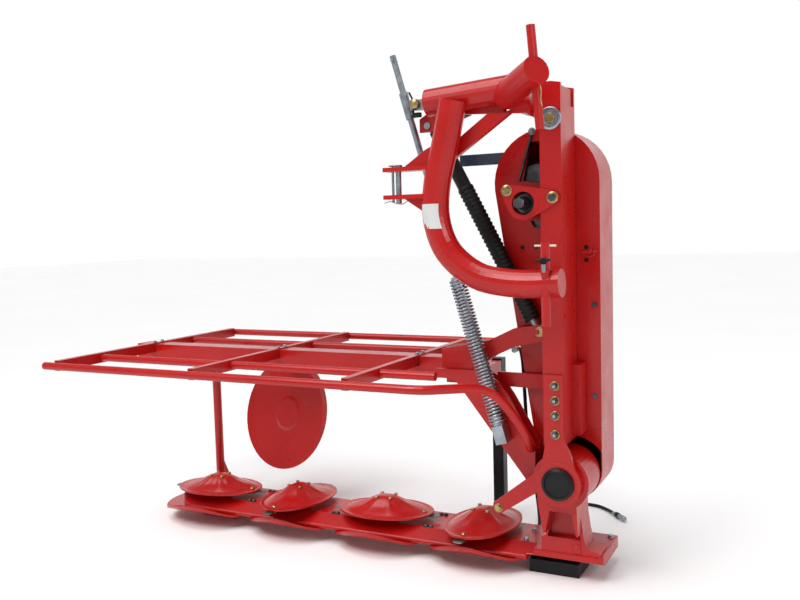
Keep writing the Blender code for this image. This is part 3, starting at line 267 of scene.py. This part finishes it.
def knife_steel():
    look = Look("knife_steel", (0.20, 0.23, 0.21), 0.4, metallic=0.9)
    look.vary_colour(25.0, 0.7, 1.25)
    look.bump(160.0, 0.15, 0.0005, stretch=(1, 6, 1))
    return look.material


def navy_enamel():
    look = Look("navy_enamel", (0.030, 0.050, 0.085), 0.35, coat=0.3)
    look.vary_colour(8.0, 0.8, 1.25)
    return look.material


def label_film():
    look = Look("label_film", (0.62, 0.62, 0.61), 0.42)
    look.vary_colour(12.0, 0.96, 1.02)
    return look.material


def cream_plastic():
    look = Look("cream_plastic", (0.66, 0.62, 0.50), 0.45)
    look.vary_colour(20.0, 0.9, 1.05)
    return look.material


LOOKS = {
    "red_paint": red_enamel(), "black_paint": black_enamel(), "rubber": black_rubber(),
    "zinc": zinc_plate(), "gold": yellow_zinc(), "dark_steel": dark_steel(), "knife": knife_steel(),
    "navy_paint": navy_enamel(), "label": label_film(), "cream": cream_plastic(),
}


# ---------------------------------------------------------------- mesh helpers

def frame_at(place, way):
    turn = Vector(way).to_track_quat("Z", "Y").to_matrix().to_4x4()
    return Matrix.Translation(Vector(place)) @ turn


def lathe(bm, profile, place, way, sides=32):
    """Add a closed (radius, distance) profile revolved about the line from place along way."""
    matrix = frame_at(place, way)
    columns = []
    for radius, distance in profile:
        count = 1 if radius == 0 else sides
        ring = []
        for k in range(count):
            angle = 2 * math.pi * k / sides
            point = Vector((radius * math.cos(angle), radius * math.sin(angle), distance))
            ring.append(bm.verts.new(matrix @ point))
        columns.append(ring)
    pairs = list(zip(columns, columns[1:]))
    if profile[0][0] > 0:
        pairs.append((columns[-1], columns[0]))
    for first, second in pairs:
        for k in range(sides):
            corners = [first[k % len(first)], first[(k + 1) % len(first)],
                       second[(k + 1) % len(second)], second[k % len(second)]]
            unique = [v for n, v in enumerate(corners) if v not in corners[:n]]
            if len(unique) > 2:
                bm.faces.new(unique)


def block(bm, low, high, matrix=None):
    """Add a box between two corners."""
    low, high = Vector(low), Vector(high)
    for vert in bmesh.ops.create_cube(bm, size=1.0)["verts"]:
        vert.co = Vector((low[i] + high[i]) / 2 + vert.co[i] * (high[i] - low[i]) for i in range(3))
        if matrix:
            vert.co = matrix @ vert.co


def sweep(bm, path, radius, sides=12, closed=False):
    """Add a tube along a path. radius is a number or a list of one per point."""
    path = [Vector(p) for p in path]
    count = len(path)
    side = Vector((0.31, 0.17, 0.93)).normalized()
    rings = []
    for i, point in enumerate(path):
        before = path[(i - 1) % count] if closed else path[max(i - 1, 0)]
        after = path[(i + 1) % count] if closed else path[min(i + 1, count - 1)]
        tangent = (after - before).normalized()
        side = (side - tangent * side.dot(tangent)).normalized()
        other = tangent.cross(side)
        size = radius[i] if isinstance(radius, list) else radius
        ring = []
        for k in range(sides):
            angle = 2 * math.pi * k / sides
            ring.append(bm.verts.new(point + size * (math.cos(angle) * side + math.sin(angle) * other)))
        rings.append(ring)
    pairs = list(zip(rings, rings[1:])) + ([(rings[-1], rings[0])] if closed else [])
    for first, second in pairs:
        for k in range(sides):
            bm.faces.new((first[k], first[(k + 1) % sides], second[(k + 1) % sides], second[k]))
    if not closed:
        bm.faces.new(rings[0])
        bm.faces.new(list(reversed(rings[-1])))


def piece(name, bm, look, body, replaces=(), bevel=0.0, smooth=SHARP_ANGLE):
    """Make an object of a bmesh, give it its look and let it ride on its CAD body."""
    bmesh.ops.recalc_face_normals(bm, faces=bm.faces)
    mesh = bpy.data.meshes.new(name)
    bm.to_mesh(mesh)
    bm.free()
    mesh.shade_smooth()
    mesh.set_sharp_from_angle(angle=math.radians(smooth))
    mesh.materials.append(LOOKS[look])
    obj = bpy.data.objects.new(name, mesh)
    bpy.context.scene.collection.objects.link(obj)
    if bevel:
        add_bevel(obj, bevel)
    if body:
        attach(obj, body)
    if replaces:
        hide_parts(*replaces)
    return obj


def add_bevel(obj, width, angle=SHARP_ANGLE):
    made = obj.modifiers.new("edge", "BEVEL")
    made.width = width
    made.segments = 2
    made.limit_method = "ANGLE"
    made.angle_limit = math.radians(angle)
    made.harden_normals = False


def hex_head(bm, place, way, across, height, chamfer=0.12):
    """Add a hexagon head with chamfered corners, standing on place."""
    radius = across / math.sqrt(3)
    matrix = frame_at(place, way)
    levels = [(radius, 0), (radius, height * (1 - chamfer)), (radius * 0.88, height)]
    rings = []
    for size, level in levels:
        ring = []
        for k in range(6):
            angle = math.radians(60 * k + 12)
            point = Vector((size * math.cos(angle), size * math.sin(angle), level))
            ring.append(bm.verts.new(matrix @ point))
        rings.append(ring)
    for first, second in zip(rings, rings[1:]):
        for k in range(6):
            bm.faces.new((first[k], first[(k + 1) % 6], second[(k + 1) % 6], second[k]))
    bm.faces.new(rings[0])
    bm.faces.new(rings[-1])


def bolt(bm, place, way, size):
    """Add a washer and a head of size across."""
    place, way = Vector(place), Vector(way).normalized()
    thick = size * 0.12
    profile = [(0, 0), (size * 0.80, 0), (size * 0.82, size * 0.05), (size * 0.78, thick), (0, thick)]
    lathe(bm, profile, place, way, 24)
    hex_head(bm, place + way * thick, way, size, size * 0.48)


def bolts(name, look, body, items, across, way=FRONT):
    bm = bmesh.new()
    for place in items:
        bolt(bm, place, way, across)
    piece(name, bm, look, body)


# ---------------------------------------------------------------- hose

def smooth_path(points, spacing):
    """Even points on a smooth curve through the given ones."""
    points = [Vector(p) for p in points]
    padded = [2 * points[0] - points[1]] + points + [2 * points[-1] - points[-2]]
    dense = []
    for i in range(1, len(padded) - 2):
        p0, p1, p2, p3 = padded[i - 1:i + 3]
        for k in range(CURVE_STEPS):
            t = k / CURVE_STEPS
            dense.append(0.5 * (2 * p1 + (p2 - p0) * t + (2 * p0 - 5 * p1 + 4 * p2 - p3) * t * t
                                + (3 * p1 - p0 - 3 * p2 + p3) * t ** 3))
    dense.append(points[-1])
    total = sum((b - a).length for a, b in zip(dense, dense[1:]))
    count = max(2, round(total / spacing))
    result, walked, index = [dense[0]], 0.0, 0
    for k in range(1, count):
        target = total * k / count
        while walked + (dense[index + 1] - dense[index]).length < target:
            walked += (dense[index + 1] - dense[index]).length
            index += 1
        step = dense[index + 1] - dense[index]
        result.append(dense[index] + step * ((target - walked) / step.length))
    result.append(dense[-1])
    return result


def make_hose():
    """The hose: a rubber tube swept along its route, in place of the CAD tube."""
    path = smooth_path(HOSE_ROUTE, 0.010)
    bm = bmesh.new()
    sweep(bm, path, HOSE_RADIUS, 20)
    hose = piece("hose", bm, "rubber", "cutter_bar", replaces=["hydraulic_hose"])


# ---------------------------------------------------------------- cutting discs

def disc_radius(angle, long_half, short_half):
    c, s = math.cos(angle), math.sin(angle)
    return long_half * short_half / math.sqrt((short_half * c) ** 2 + (long_half * s) ** 2)


def disc_shell(centre, turn):
    """Pressed oval disc with a turned-up edge and a ribbed cone in its middle."""
    bm = bmesh.new()
    angles = [2 * math.pi * k / DISC_SIDES for k in range(DISC_SIDES)]
    rings = []
    for share, height in DISC_STEPS:
        mix = min(1.0, max(0.0, (share - 0.45) / 0.45))
        ring = []
        for angle in angles:
            outer = disc_radius(angle, DISC_LONG, DISC_SHORT)
            radius = outer * share * mix + min(DISC_ROUND * share, outer * share) * (1 - mix)
            rib = 0.5 + 0.5 * math.cos(angle * 6)
            lift = 0.0045 * (rib ** 3) * max(0.0, 1 - abs(share - 0.52) / 0.30)
            point = Vector((radius * math.cos(angle + turn), radius * math.sin(angle + turn),
                            DISC_UNDER + height + lift))
            ring.append(bm.verts.new(point + centre))
        rings.append(ring)
    under = []
    for angle in angles:
        radius = 0.93 * disc_radius(angle, DISC_LONG, DISC_SHORT)
        point = Vector((radius * math.cos(angle + turn), radius * math.sin(angle + turn), DISC_UNDER))
        under.append(bm.verts.new(centre + point))
    rings.insert(0, under)
    for first, second in zip(rings, rings[1:]):
        for k in range(DISC_SIDES):
            j = (k + 1) % DISC_SIDES
            bm.faces.new((first[k], first[j], second[j], second[k]))
    bm.faces.new(rings[0])
    bm.faces.new(rings[-1])
    return bm


def knives(centre, turn):
    bm = bmesh.new()
    low, high = DISC_UNDER - 0.004, DISC_UNDER - 0.0005
    outline = [(0.130, -0.019), (KNIFE_TIP - 0.014, -0.020), (KNIFE_TIP - 0.001, -0.012),
               (KNIFE_TIP, 0.014), (KNIFE_TIP - 0.008, 0.020), (0.130, 0.019)]
    for side in (0, math.pi):
        matrix = Matrix.Translation(centre) @ Matrix.Rotation(turn + side, 4, "Z")
        rings = [[bm.verts.new(matrix @ Vector((x, y, z))) for x, y in outline] for z in (low, high)]
        for k in range(len(outline)):
            j = (k + 1) % len(outline)
            bm.faces.new((rings[0][k], rings[0][j], rings[1][j], rings[1][k]))
        bm.faces.new(rings[0])
        bm.faces.new(rings[1])
    return bm


def make_discs():
    for index, x in enumerate(DISC_XS):
        body = f"cutting_disc_{index + 1}"
        centre = Vector((x, DISC_Y, 0))
        turn = math.radians(DISC_TURN if index % 2 == 0 else 90 - DISC_TURN)
        shell = disc_shell(centre, turn)
        hub = [(0, 0.1001), (0.042, 0.1001), (0.045, 0.104), (0.045, 0.128), (0, 0.128)]
        lathe(shell, hub, centre, UP, 40)
        piece(f"disc_shell_{index + 1}", shell, "red_paint", body, replaces=[f"cutting_disc_{index + 1}"])
        piece(f"disc_knives_{index + 1}", knives(centre, turn), "knife", body, bevel=0.0008)
        bm = bmesh.new()
        for side in (0, math.pi):
            way = Vector((math.cos(turn + side), math.sin(turn + side), 0))
            place = centre + way * KNIFE_BOLT + Vector((0, 0, DISC_UNDER + 0.0095))
            lathe(bm, KNIFE_BOLT_HEAD, place, UP, 20)
            under = centre + way * KNIFE_BOLT + Vector((0, 0, DISC_UNDER - 0.004))
            hex_head(bm, under, (0, 0, -1), 0.017, 0.009)
        for k in range(4):
            angle = turn + math.radians(45 + 90 * k)
            place = centre + Vector((0.040 * math.cos(angle), 0.040 * math.sin(angle), DISC_UNDER + 0.0545))
            hex_head(bm, place, UP, 0.013, 0.007)
        piece(f"disc_bolts_{index + 1}", bm, "gold", body)


# ---------------------------------------------------------------- spring, cylinder

def make_spring():
    """Tension spring: close coils between the rod and the clevis."""
    way = (SPRING_EYE - SPRING_TOP).normalized()
    length = (SPRING_EYE - SPRING_TOP).length
    start = SPRING_TOP + way * (length - SPRING_LENGTH - SPRING_EYE_GAP)
    end = SPRING_TOP + way * (length - SPRING_EYE_GAP)
    matrix = frame_at(start, way)
    reach = (end - start).length - 2 * SPRING_WIRE - 0.004
    turns = reach / SPRING_PITCH
    points = []
    for k in range(int(turns * COIL_STEPS) + 1):
        angle = 2 * math.pi * k / COIL_STEPS
        level = SPRING_WIRE + 0.002 + SPRING_PITCH * k / COIL_STEPS
        point = Vector((COIL_RADIUS * math.cos(angle), COIL_RADIUS * math.sin(angle), level))
        points.append(matrix @ point)
    bm = bmesh.new()
    sweep(bm, points, SPRING_WIRE, 10)
    lathe(bm, [(0, 0.0), (0.021, 0.0), (0.021, 0.040), (0.011, 0.052), (0, 0.052)], start, way, 28)
    lathe(bm, [(0, 0.0), (0.021, 0.0), (0.021, 0.036), (0.013, 0.046), (0, 0.046)], end, -way, 28)
    coil = piece("spring_coil", bm, "zinc", None, replaces=["relief_spring"])
    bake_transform(coil)


def make_bellows():
    """Pleated rubber sleeve between the barrel and the rod's eye."""
    way = (CYLINDER_EYE - CYLINDER_TOP).normalized()
    length = (CYLINDER_EYE - CYLINDER_TOP).length
    start, end = 0.245, length - 0.045
    profile = [(0.0255, start), (0.0285, start + 0.002), (0.0285, start + 0.014)]
    step = (end - start - 0.030) / PLEATS
    for k in range(PLEATS):
        level = start + 0.016 + step * k
        profile += [(0.0258, level), (0.0272, level + step * 0.2), (0.0298, level + step * 0.5),
                    (0.0272, level + step * 0.8)]
    profile += [(0.0258, end - 0.014), (0.0285, end - 0.012), (0.0285, end - 0.002), (0.0255, end)]
    bm = bmesh.new()
    lathe(bm, profile, CYLINDER_TOP, way, 36)
    sleeve = piece("bellows_pleats", bm, "rubber", None, replaces=["cylinder_bellows"], smooth=60)
    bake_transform(sleeve)


# ---------------------------------------------------------------- bolts and trim

def disc(bm, place, radius, thick, sides=24):
    """Add a flat round plate that faces the front."""
    lathe(bm, [(0, 0), (radius, 0), (radius, thick), (0, thick)], place, FRONT, sides)


def washers(name, look, body, items, radius, thick):
    bm = bmesh.new()
    profile = [(0, 0), (radius, 0), (radius, thick * 0.7), (radius * 0.94, thick), (0, thick)]
    for place in items:
        lathe(bm, profile, place, FRONT, 32)
    piece(name, bm, look, body)


def nuts(name, look, body, items, across, height):
    bm = bmesh.new()
    for place in items:
        hex_head(bm, place, FRONT, across, height)
    piece(name, bm, look, body, bevel=0.0004)


def tube(name, look, body, path, radius):
    bm = bmesh.new()
    sweep(bm, path, radius, 16)
    piece(name, bm, look, body)


def make_arm_details():
    eye_bolts = [(-0.007, -0.2165, z) for z in (0.680, 0.631, 0.582, 0.519)]
    washers("eye_plate_washers", "gold", "drive_arm", eye_bolts, 0.0155, 0.0025)
    over_washers = [(x, y - 0.0024, z) for x, y, z in eye_bolts]
    nuts("eye_plate_nuts", "dark_steel", "drive_arm", over_washers, 0.020, 0.010)
    bm = bmesh.new()
    stud = [(0, 0), (0.0055, 0), (0.0055, 0.004), (0.0045, 0.005), (0, 0.005)]
    for x, y, z in eye_bolts:
        lathe(bm, stud, (x, y - 0.0123, z), FRONT, 16)
    piece("eye_plate_studs", bm, "zinc", "drive_arm")
    bm = bmesh.new()
    rim = [(0.0175, 0), (0.0358, 0), (0.0358, 0.0030), (0.033, 0.0048), (0.027, 0.0048), (0.025, 0.0015),
           (0.0175, 0.0015)]
    lathe(bm, rim, (PIVOT_X, MAST_FRONT - 0.0054, PIVOT_Z), FRONT, 48)
    piece("pivot_washer", bm, "zinc", "drive_arm")
    bm = bmesh.new()
    nose = [(0, 0), (0.0165, 0), (0.0165, 0.003), (0.015, 0.0045), (0, 0.0045)]
    lathe(bm, nose, (PIVOT_X, MAST_FRONT - 0.0086, PIVOT_Z), FRONT, 32)
    piece("pivot_nose", bm, "gold", "drive_arm")
    left, right = (-0.160, -0.2171, 1.316), (-0.006, -0.2171, 1.288)
    washers("carrier_washers", "gold", "drive_arm", [left, right], 0.0190, 0.0025)
    left_head, right_head = [(x, y - 0.0024, z) for x, y, z in (left, right)]
    nuts("carrier_bolt_left", "gold", "drive_arm", [left_head], 0.023, 0.011)
    nuts("carrier_bolt_right", "dark_steel", "drive_arm", [right_head], 0.023, 0.012)
    bm = bmesh.new()
    seal = [(0.0185, 0), (0.0372, 0), (0.0372, 0.008), (0.030, 0.011), (0.0185, 0.008)]
    lathe(bm, seal, (SHAFT.x, -0.1888, SHAFT.z), FRONT, 36)
    piece("shaft_seal", bm, "dark_steel", "drive_arm")
    tensioner = [(-0.130, -0.0445, 1.506), (-0.176, -0.0445, 1.352)]
    tube("belt_tensioner", "dark_steel", "drive_arm", tensioner, 0.0045)
    bolts("tensioner_bolt", "zinc", "drive_arm", [(-0.129, -0.0387, 1.520)], 0.016)
    # Painted shade: thin black discs on the guard plate stand for the dark seen through its holes
    bm = bmesh.new()
    for x, z in ((-0.169, 1.126), (-0.120, 1.126), (0.054, 1.124), (0.054, 1.080)):
        disc(bm, (x, -0.0386, z), 0.0075, 0.0003)
    piece("guard_hole_shade", bm, "rubber", "drive_arm")
    screws = [(0.080, -0.0387, 0.620), (0.080, -0.0387, 0.930)]
    bolts("guard_screws", "dark_steel", "drive_arm", screws, 0.012)
    ring = []
    for k in range(36):
        angle = math.radians(10 * k)
        ring.append((0.066 + 0.018 * math.cos(angle), -0.048, 1.103 + 0.010 * math.sin(angle)))
    bm = bmesh.new()
    sweep(bm, ring, 0.0026, 10, closed=True)
    sweep(bm, [(0.040, -0.048, 1.106), (0.094, -0.048, 1.108)], 0.0050, 14)
    block(bm, (0.060, -0.0475, 1.098), (0.072, -0.0386, 1.112))
    piece("guard_latch", bm, "red_paint", "drive_arm", bevel=0.0006)


def make_belts():
    """Three belts round the two pulleys inside the guard."""
    upper, lower = Vector((SHAFT.x, 0, SHAFT.z)), Vector((0, 0, HINGE_Z))
    span = upper - lower
    heading = math.atan2(span.z, span.x)
    spread = math.acos((UPPER_BELT_RADIUS - LOWER_BELT_RADIUS) / span.length)
    bends = [(upper, UPPER_BELT_RADIUS, heading - spread, 2 * spread),
             (lower, LOWER_BELT_RADIUS, heading + spread, 2 * math.pi - 2 * spread)]
    for index, y in enumerate(BELT_YS):
        path = []
        for centre, radius, first, sweep_angle in bends:
            for k in range(25):
                angle = first + sweep_angle * k / 24
                path.append((centre.x + radius * math.cos(angle), y, centre.z + radius * math.sin(angle)))
        bm = bmesh.new()
        sweep(bm, path, BELT_RADIUS, 8, closed=True)
        piece(f"drive_belt_{index + 1}", bm, "rubber", "drive_arm")


def make_shaft():
    """Six-spline end on the input shaft."""
    bm = bmesh.new()
    for k in range(6):
        angle = math.radians(60 * k)
        matrix = Matrix.Translation(SHAFT) @ Matrix.Rotation(angle, 4, "Y")
        block(bm, (-0.0035, 0.001, 0.0165), (0.0035, 0.058, 0.0195), matrix)
    piece("shaft_splines", bm, "dark_steel", "input_shaft", bevel=0.0005)


def tube_label():
    """Blank label wrapped round the front of the bent tube."""
    centres = smooth_path([(-0.344, 0, 1.150), (-0.370, 0, 1.245), (-0.362, 0, 1.350)], 0.010)
    rows = [c for c in centres if 1.192 <= c.z <= 1.282]
    angles = [math.radians(degrees) for degrees in range(-48, 37, 6)]
    bm = bmesh.new()
    sheets = []
    for radius in (0.0452, 0.0456):
        sheet = []
        for centre in rows:
            sheet.append([bm.verts.new(centre + Vector((radius * math.sin(angle),
                                                        -0.315 - radius * math.cos(angle), 0)))
                          for angle in angles])
        sheets.append(sheet)
    inner, outer = sheets
    last = len(rows) - 1
    for i in range(last):
        for j in range(len(angles) - 1):
            for sheet in sheets:
                bm.faces.new((sheet[i][j], sheet[i][j + 1], sheet[i + 1][j + 1], sheet[i + 1][j]))
    for i in range(last):
        for j in (0, -1):
            bm.faces.new((inner[i][j], outer[i][j], outer[i + 1][j], inner[i + 1][j]))
    for j in range(len(angles) - 1):
        for i in (0, last):
            bm.faces.new((inner[i][j], outer[i][j], outer[i][j + 1], inner[i][j + 1]))
    piece("tube_label", bm, "label", "hitch")


def r_clip(bm, centre, reach):
    """Wavy spring clip lying along x."""
    path = []
    for k in range(48):
        share = k / 47
        path.append(Vector(centre) + Vector((reach * (share - 0.5), 0.006 * math.sin(share * 11),
                                             0.005 * math.sin(share * 7))))
    sweep(bm, path, 0.0016, 8)


def make_hitch_details():
    washers("trunnion_washer", "dark_steel", "spring_sleeve", [(-0.508, -0.1602, 1.631)], 0.0175, 0.003)
    nuts("trunnion_bolt", "gold", "spring_sleeve", [(-0.508, -0.1631, 1.631)], 0.032, 0.011)
    bm = bmesh.new()
    block(bm, (-0.513, -0.176, 1.584), (-0.484, -0.160, 1.600))
    sweep(bm, [(-0.528, -0.168, 1.672), (-0.516, -0.168, 1.650), (-0.512, -0.168, 1.600)], 0.0035, 10)
    piece("trunnion_clip", bm, "rubber", "spring_sleeve", bevel=0.002)
    z_low = CLEVIS_Z - CLEVIS_HALF_GAP - CLEVIS_PLATE
    z_high = CLEVIS_Z + CLEVIS_HALF_GAP + CLEVIS_PLATE
    bm = bmesh.new()
    sweep(bm, [(-0.524, -0.315, z_low - 0.010), (-0.524, -0.315, z_high + 0.006)], 0.0045, 14)
    sweep(bm, [(-0.530, -0.330, z_high + 0.006), (-0.500, -0.330, z_high + 0.006)], 0.0030, 10)
    hex_head(bm, (-0.503, -0.315, z_high + 0.0004), UP, 0.024, 0.008)
    r_clip(bm, (-0.512, -0.318, z_low - 0.011), 0.090)
    piece("clevis_pins", bm, "zinc", "hitch")
    washers("anchor_pin_head", "zinc", "hitch", [(-0.475, -0.1363, 1.556)], 0.0125, 0.004)
    bm = bmesh.new()
    clip = [(0.006, -0.366, 1.618), (0.009, -0.368, 1.600), (0.006, -0.367, 1.575), (0.010, -0.366, 1.556)]
    sweep(bm, clip, 0.0014, 10)
    piece("upper_pin_clip", bm, "gold", "hitch")
    tube("lower_pin_stick", "cream", "hitch", [(-0.026, -0.345, 1.138), (0.042, -0.345, 1.138)], 0.0034)
    bm = bmesh.new()
    lathe(bm, [(0, 0), (0.006, 0), (0.006, 0.024), (0, 0.024)], (0.010, -0.372, 1.058), UP, 16)
    piece("lock_pin", bm, "zinc", "hitch")
    bm = bmesh.new()
    knob = [(0, 0), (0.010, 0.002), (0.0115, 0.012), (0.009, 0.020), (0, 0.021)]
    lathe(bm, knob, (0.010, -0.372, 1.081), UP, 24)
    sweep(bm, [(-0.014, -0.372, 1.092), (0.032, -0.372, 1.096)], 0.0042, 12)
    piece("lock_handle", bm, "rubber", "hitch")
    tube_label()


def bead(bm, path):
    """Weld bead: a tube whose thickness ripples along its run."""
    points = smooth_path(path, WELD_STEP)
    sizes = [WELD_RADIUS * (0.82 + 0.18 * math.cos(2.1 * k)) for k in range(len(points))]
    sweep(bm, points, sizes, 8)


def ring_path(centre, axis, radius, steps=24):
    """Points of a full circle about axis, the first one repeated at the end."""
    matrix = frame_at(centre, axis)
    path = []
    for k in range(steps + 1):
        angle = math.radians(360 * k / steps)
        path.append(matrix @ Vector((radius * math.cos(angle), radius * math.sin(angle), 0)))
    return path


def make_welds():
    bm = bmesh.new()
    for z in (CLEVIS_Z + CLEVIS_HALF_GAP + CLEVIS_PLATE, CLEVIS_Z - CLEVIS_HALF_GAP):
        bead(bm, [(-0.402, -0.288, z), (-0.404, -0.315, z), (-0.402, -0.342, z)])
    bead(bm, ring_path((0.008, -0.345, 1.0635), UP, 0.016))
    piece("hitch_welds", bm, "red_paint", "hitch")
    bm = bmesh.new()
    for x in CROSS_BAR_XS:
        for y in (0.0935, 0.1745):
            bead(bm, [(x - 0.014, y, 0.672), (x - 0.0135, y, 0.690), (x - 0.014, y, 0.7065)])
    piece("beam_welds", bm, "red_paint", "cutter_bar")


def make_bar_details():
    """Bolts on the bed and the frame, and the small things on the gearbox."""
    bed = [(x, y, BAR_TOP) for x, y in ((-0.159, 0.020), (-0.159, -0.075), (0.102, -0.085), (0.104, 0.060))]
    bolts("bed_bolts", "zinc", "cutter_bar", bed, 0.015, way=UP)
    for x in DISC_XS:
        places = [(x + dx, y, BAR_TOP) for dx in (-0.19, 0.19) for y in (-0.085, 0.055)
                  if BAR_BOLTS_FROM < x + dx < BAR_BOLTS_TO]
        bolts(f"bar_bolts_{round(-1000 * x)}", "dark_steel", "cutter_bar", places, 0.013, way=UP)
    nuts("pedestal_bolt", "red_paint", "cutter_bar", [(0.040, -0.1453, 0.128)], 0.018, 0.008)
    bm = bmesh.new()
    block(bm, (0.028, -0.1492, 0.104), (0.054, -0.1450, 0.146))
    piece("pedestal_tab", bm, "red_paint", "cutter_bar", bevel=0.0015)
    bolts("lug_bolt", "gold", "cutter_bar", [(-0.219, -0.1852, 0.240)], 0.019)
    frame_bolts = [(x, y, 0.7113) for x in CROSS_BAR_XS for y in (0.110, 0.158)]
    bolts("frame_bolts", "zinc", "cutter_bar", frame_bolts, 0.013, way=UP)
    washers("lever_washer", "gold", "cutter_bar", [(-0.092, -0.1046, 0.840)], 0.017, 0.0025)
    # Painted shade: a thin black slot-shaped sheet on the gusset stands for the dark seen through its slot
    bm = bmesh.new()
    block(bm, (-0.136, -0.1124, 0.405), (-0.124, -0.1121, 0.425))
    for z in (0.405, 0.425):
        disc(bm, (-0.130, -0.1121, z), 0.006, 0.0003)
    piece("gusset_slot_shade", bm, "rubber", "cutter_bar")
    washers("spring_pin_head", "red_paint", "spring_clevis", [(-0.212, -0.168, 0.494)], 0.012, 0.006)
    end = Vector(HOSE_ROUTE[-1])
    way = (Vector(COUPLER_END) - end).normalized()
    bm = bmesh.new()
    sleeve = [(0, 0), (0.0102, 0), (0.0108, 0.002), (0.0108, 0.026), (0.0102, 0.028), (0, 0.028)]
    lathe(bm, sleeve, end + way * 0.023, way, 24)
    piece("coupler_sleeve", bm, "rubber", "cutter_bar")


# ---------------------------------------------------------------- CAD nodes

BEVELS = {
    "arm_mast": 0.006, "guard_beam": 0.006, "packing_block": 0.005, "gusset_frame": 0.0012,
    "lever_frame": 0.0012, "belt_guard_tray": 0.0012, "belt_guard_plate": 0.001, "gearbox": 0.003,
    "arm_eye_plate": 0.002, "hitch_c_tube": 0.0012, "hitch_cross_tube": 0.002,
    "hitch_front_tube": 0.002, "pivot_lug": 0.002, "parking_leg": 0.004, "outer_shoe": 0.004,
    "bearing_carrier": 0.002, "cross_bar_1": 0.0015, "cross_bar_2": 0.0015, "cross_bar_3": 0.0015,
    "guard_post": 0.001, "swath_hanger": 0.001, "hitch_brace": 0.0012, "side_lug": 0.0012,
    "cylinder_anchor": 0.001, "link_pin_upper": 0.002, "link_pin_lower": 0.002,
    "guard_stay": 0.0015, "spring_clevis": 0.002,
}
DEFAULT_BEVEL = 0.0008


def dress_nodes():
    slots = {row["node"]: row["material_slot"] for row in frame["record"]["subparts"]}
    for name, obj in NODES.items():
        obj.data.materials.clear()
        obj.data.materials.append(LOOKS[slots[name]])
        for polygon in obj.data.polygons:
            polygon.material_index = 0
        obj.data.shade_smooth()
        obj.data.set_sharp_from_angle(angle=math.radians(SHARP_ANGLE))
        if not obj.hide_render:
            add_bevel(obj, BEVELS.get(name, DEFAULT_BEVEL), angle=40)


# ---------------------------------------------------------------- studio

def make_floor():
    bm = bmesh.new()
    bmesh.ops.create_grid(bm, x_segments=1, y_segments=1, size=30)
    mesh = bpy.data.meshes.new("floor")
    bm.to_mesh(mesh)
    bm.free()
    floor = bpy.data.objects.new("floor", mesh)
    bpy.context.scene.collection.objects.link(floor)
    look = Look("floor_paint", (0.95, 0.95, 0.95), 0.7)
    look.vary_colour(0.6, 0.99, 1.01)
    mesh.materials.append(look.material)


def grey_ramp(tree, source, dark, light):
    """Ramp between two (place, colour) stops along one part of the world's direction."""
    made = tree.nodes.new("ShaderNodeValToRGB")
    for element, (place, colour) in zip(made.color_ramp.elements, (dark, light)):
        element.position = place
        element.color = (*colour, 1)
    tree.links.new(source, made.inputs["Fac"])
    return made.outputs["Color"]


def make_world():
    """Pale surroundings, greyer overhead and on the tractor's side, for the gloss to show."""
    world = bpy.data.worlds.new("studio")
    bpy.context.scene.world = world
    world.use_nodes = True
    tree = world.node_tree
    background = tree.nodes["Background"]
    background.inputs["Strength"].default_value = 1.0
    split = tree.nodes.new("ShaderNodeSeparateXYZ")
    tree.links.new(tree.nodes.new("ShaderNodeTexCoord").outputs["Generated"], split.inputs["Vector"])
    overhead = grey_ramp(tree, split.outputs["Z"], (0.34, (1, 1, 1)), (0.62, (0.30, 0.30, 0.31)))
    front = grey_ramp(tree, split.outputs["Y"], (0.0, (0.45, 0.45, 0.45)), (0.5, (1, 1, 1)))
    mix = tree.nodes.new("ShaderNodeMix")
    mix.data_type = "RGBA"
    mix.blend_type = "MULTIPLY"
    mix.inputs["Factor"].default_value = 1.0
    tree.links.new(overhead, mix.inputs[6])
    tree.links.new(front, mix.inputs[7])
    tree.links.new(mix.outputs[2], background.inputs["Color"])


def add_lamp(data, way):
    """Link a lamp that shines along way."""
    lamp = bpy.data.objects.new(data.name, data)
    bpy.context.scene.collection.objects.link(lamp)
    lamp.rotation_mode = "QUATERNION"
    lamp.rotation_quaternion = way.to_track_quat("-Z", "Y")
    return lamp


def make_lamps():
    for name, place, size, power in AREA_LAMPS:
        data = bpy.data.lights.new(name, "AREA")
        data.size = size
        data.energy = power
        add_lamp(data, LAMP_TARGET - Vector(place)).location = place
    data = bpy.data.lights.new("sky", "SUN")
    data.energy = SKY_ENERGY
    data.angle = math.radians(SKY_ANGLE)
    add_lamp(data, SKY_WAY)


make_camera()
make_hose()
make_discs()
make_spring()
make_bellows()
make_arm_details()
make_shaft()
make_belts()
make_hitch_details()
make_welds()
make_bar_details()
dress_nodes()
make_floor()
make_world()
make_lamps()
bpy.context.scene.view_settings.view_transform = "Standard"
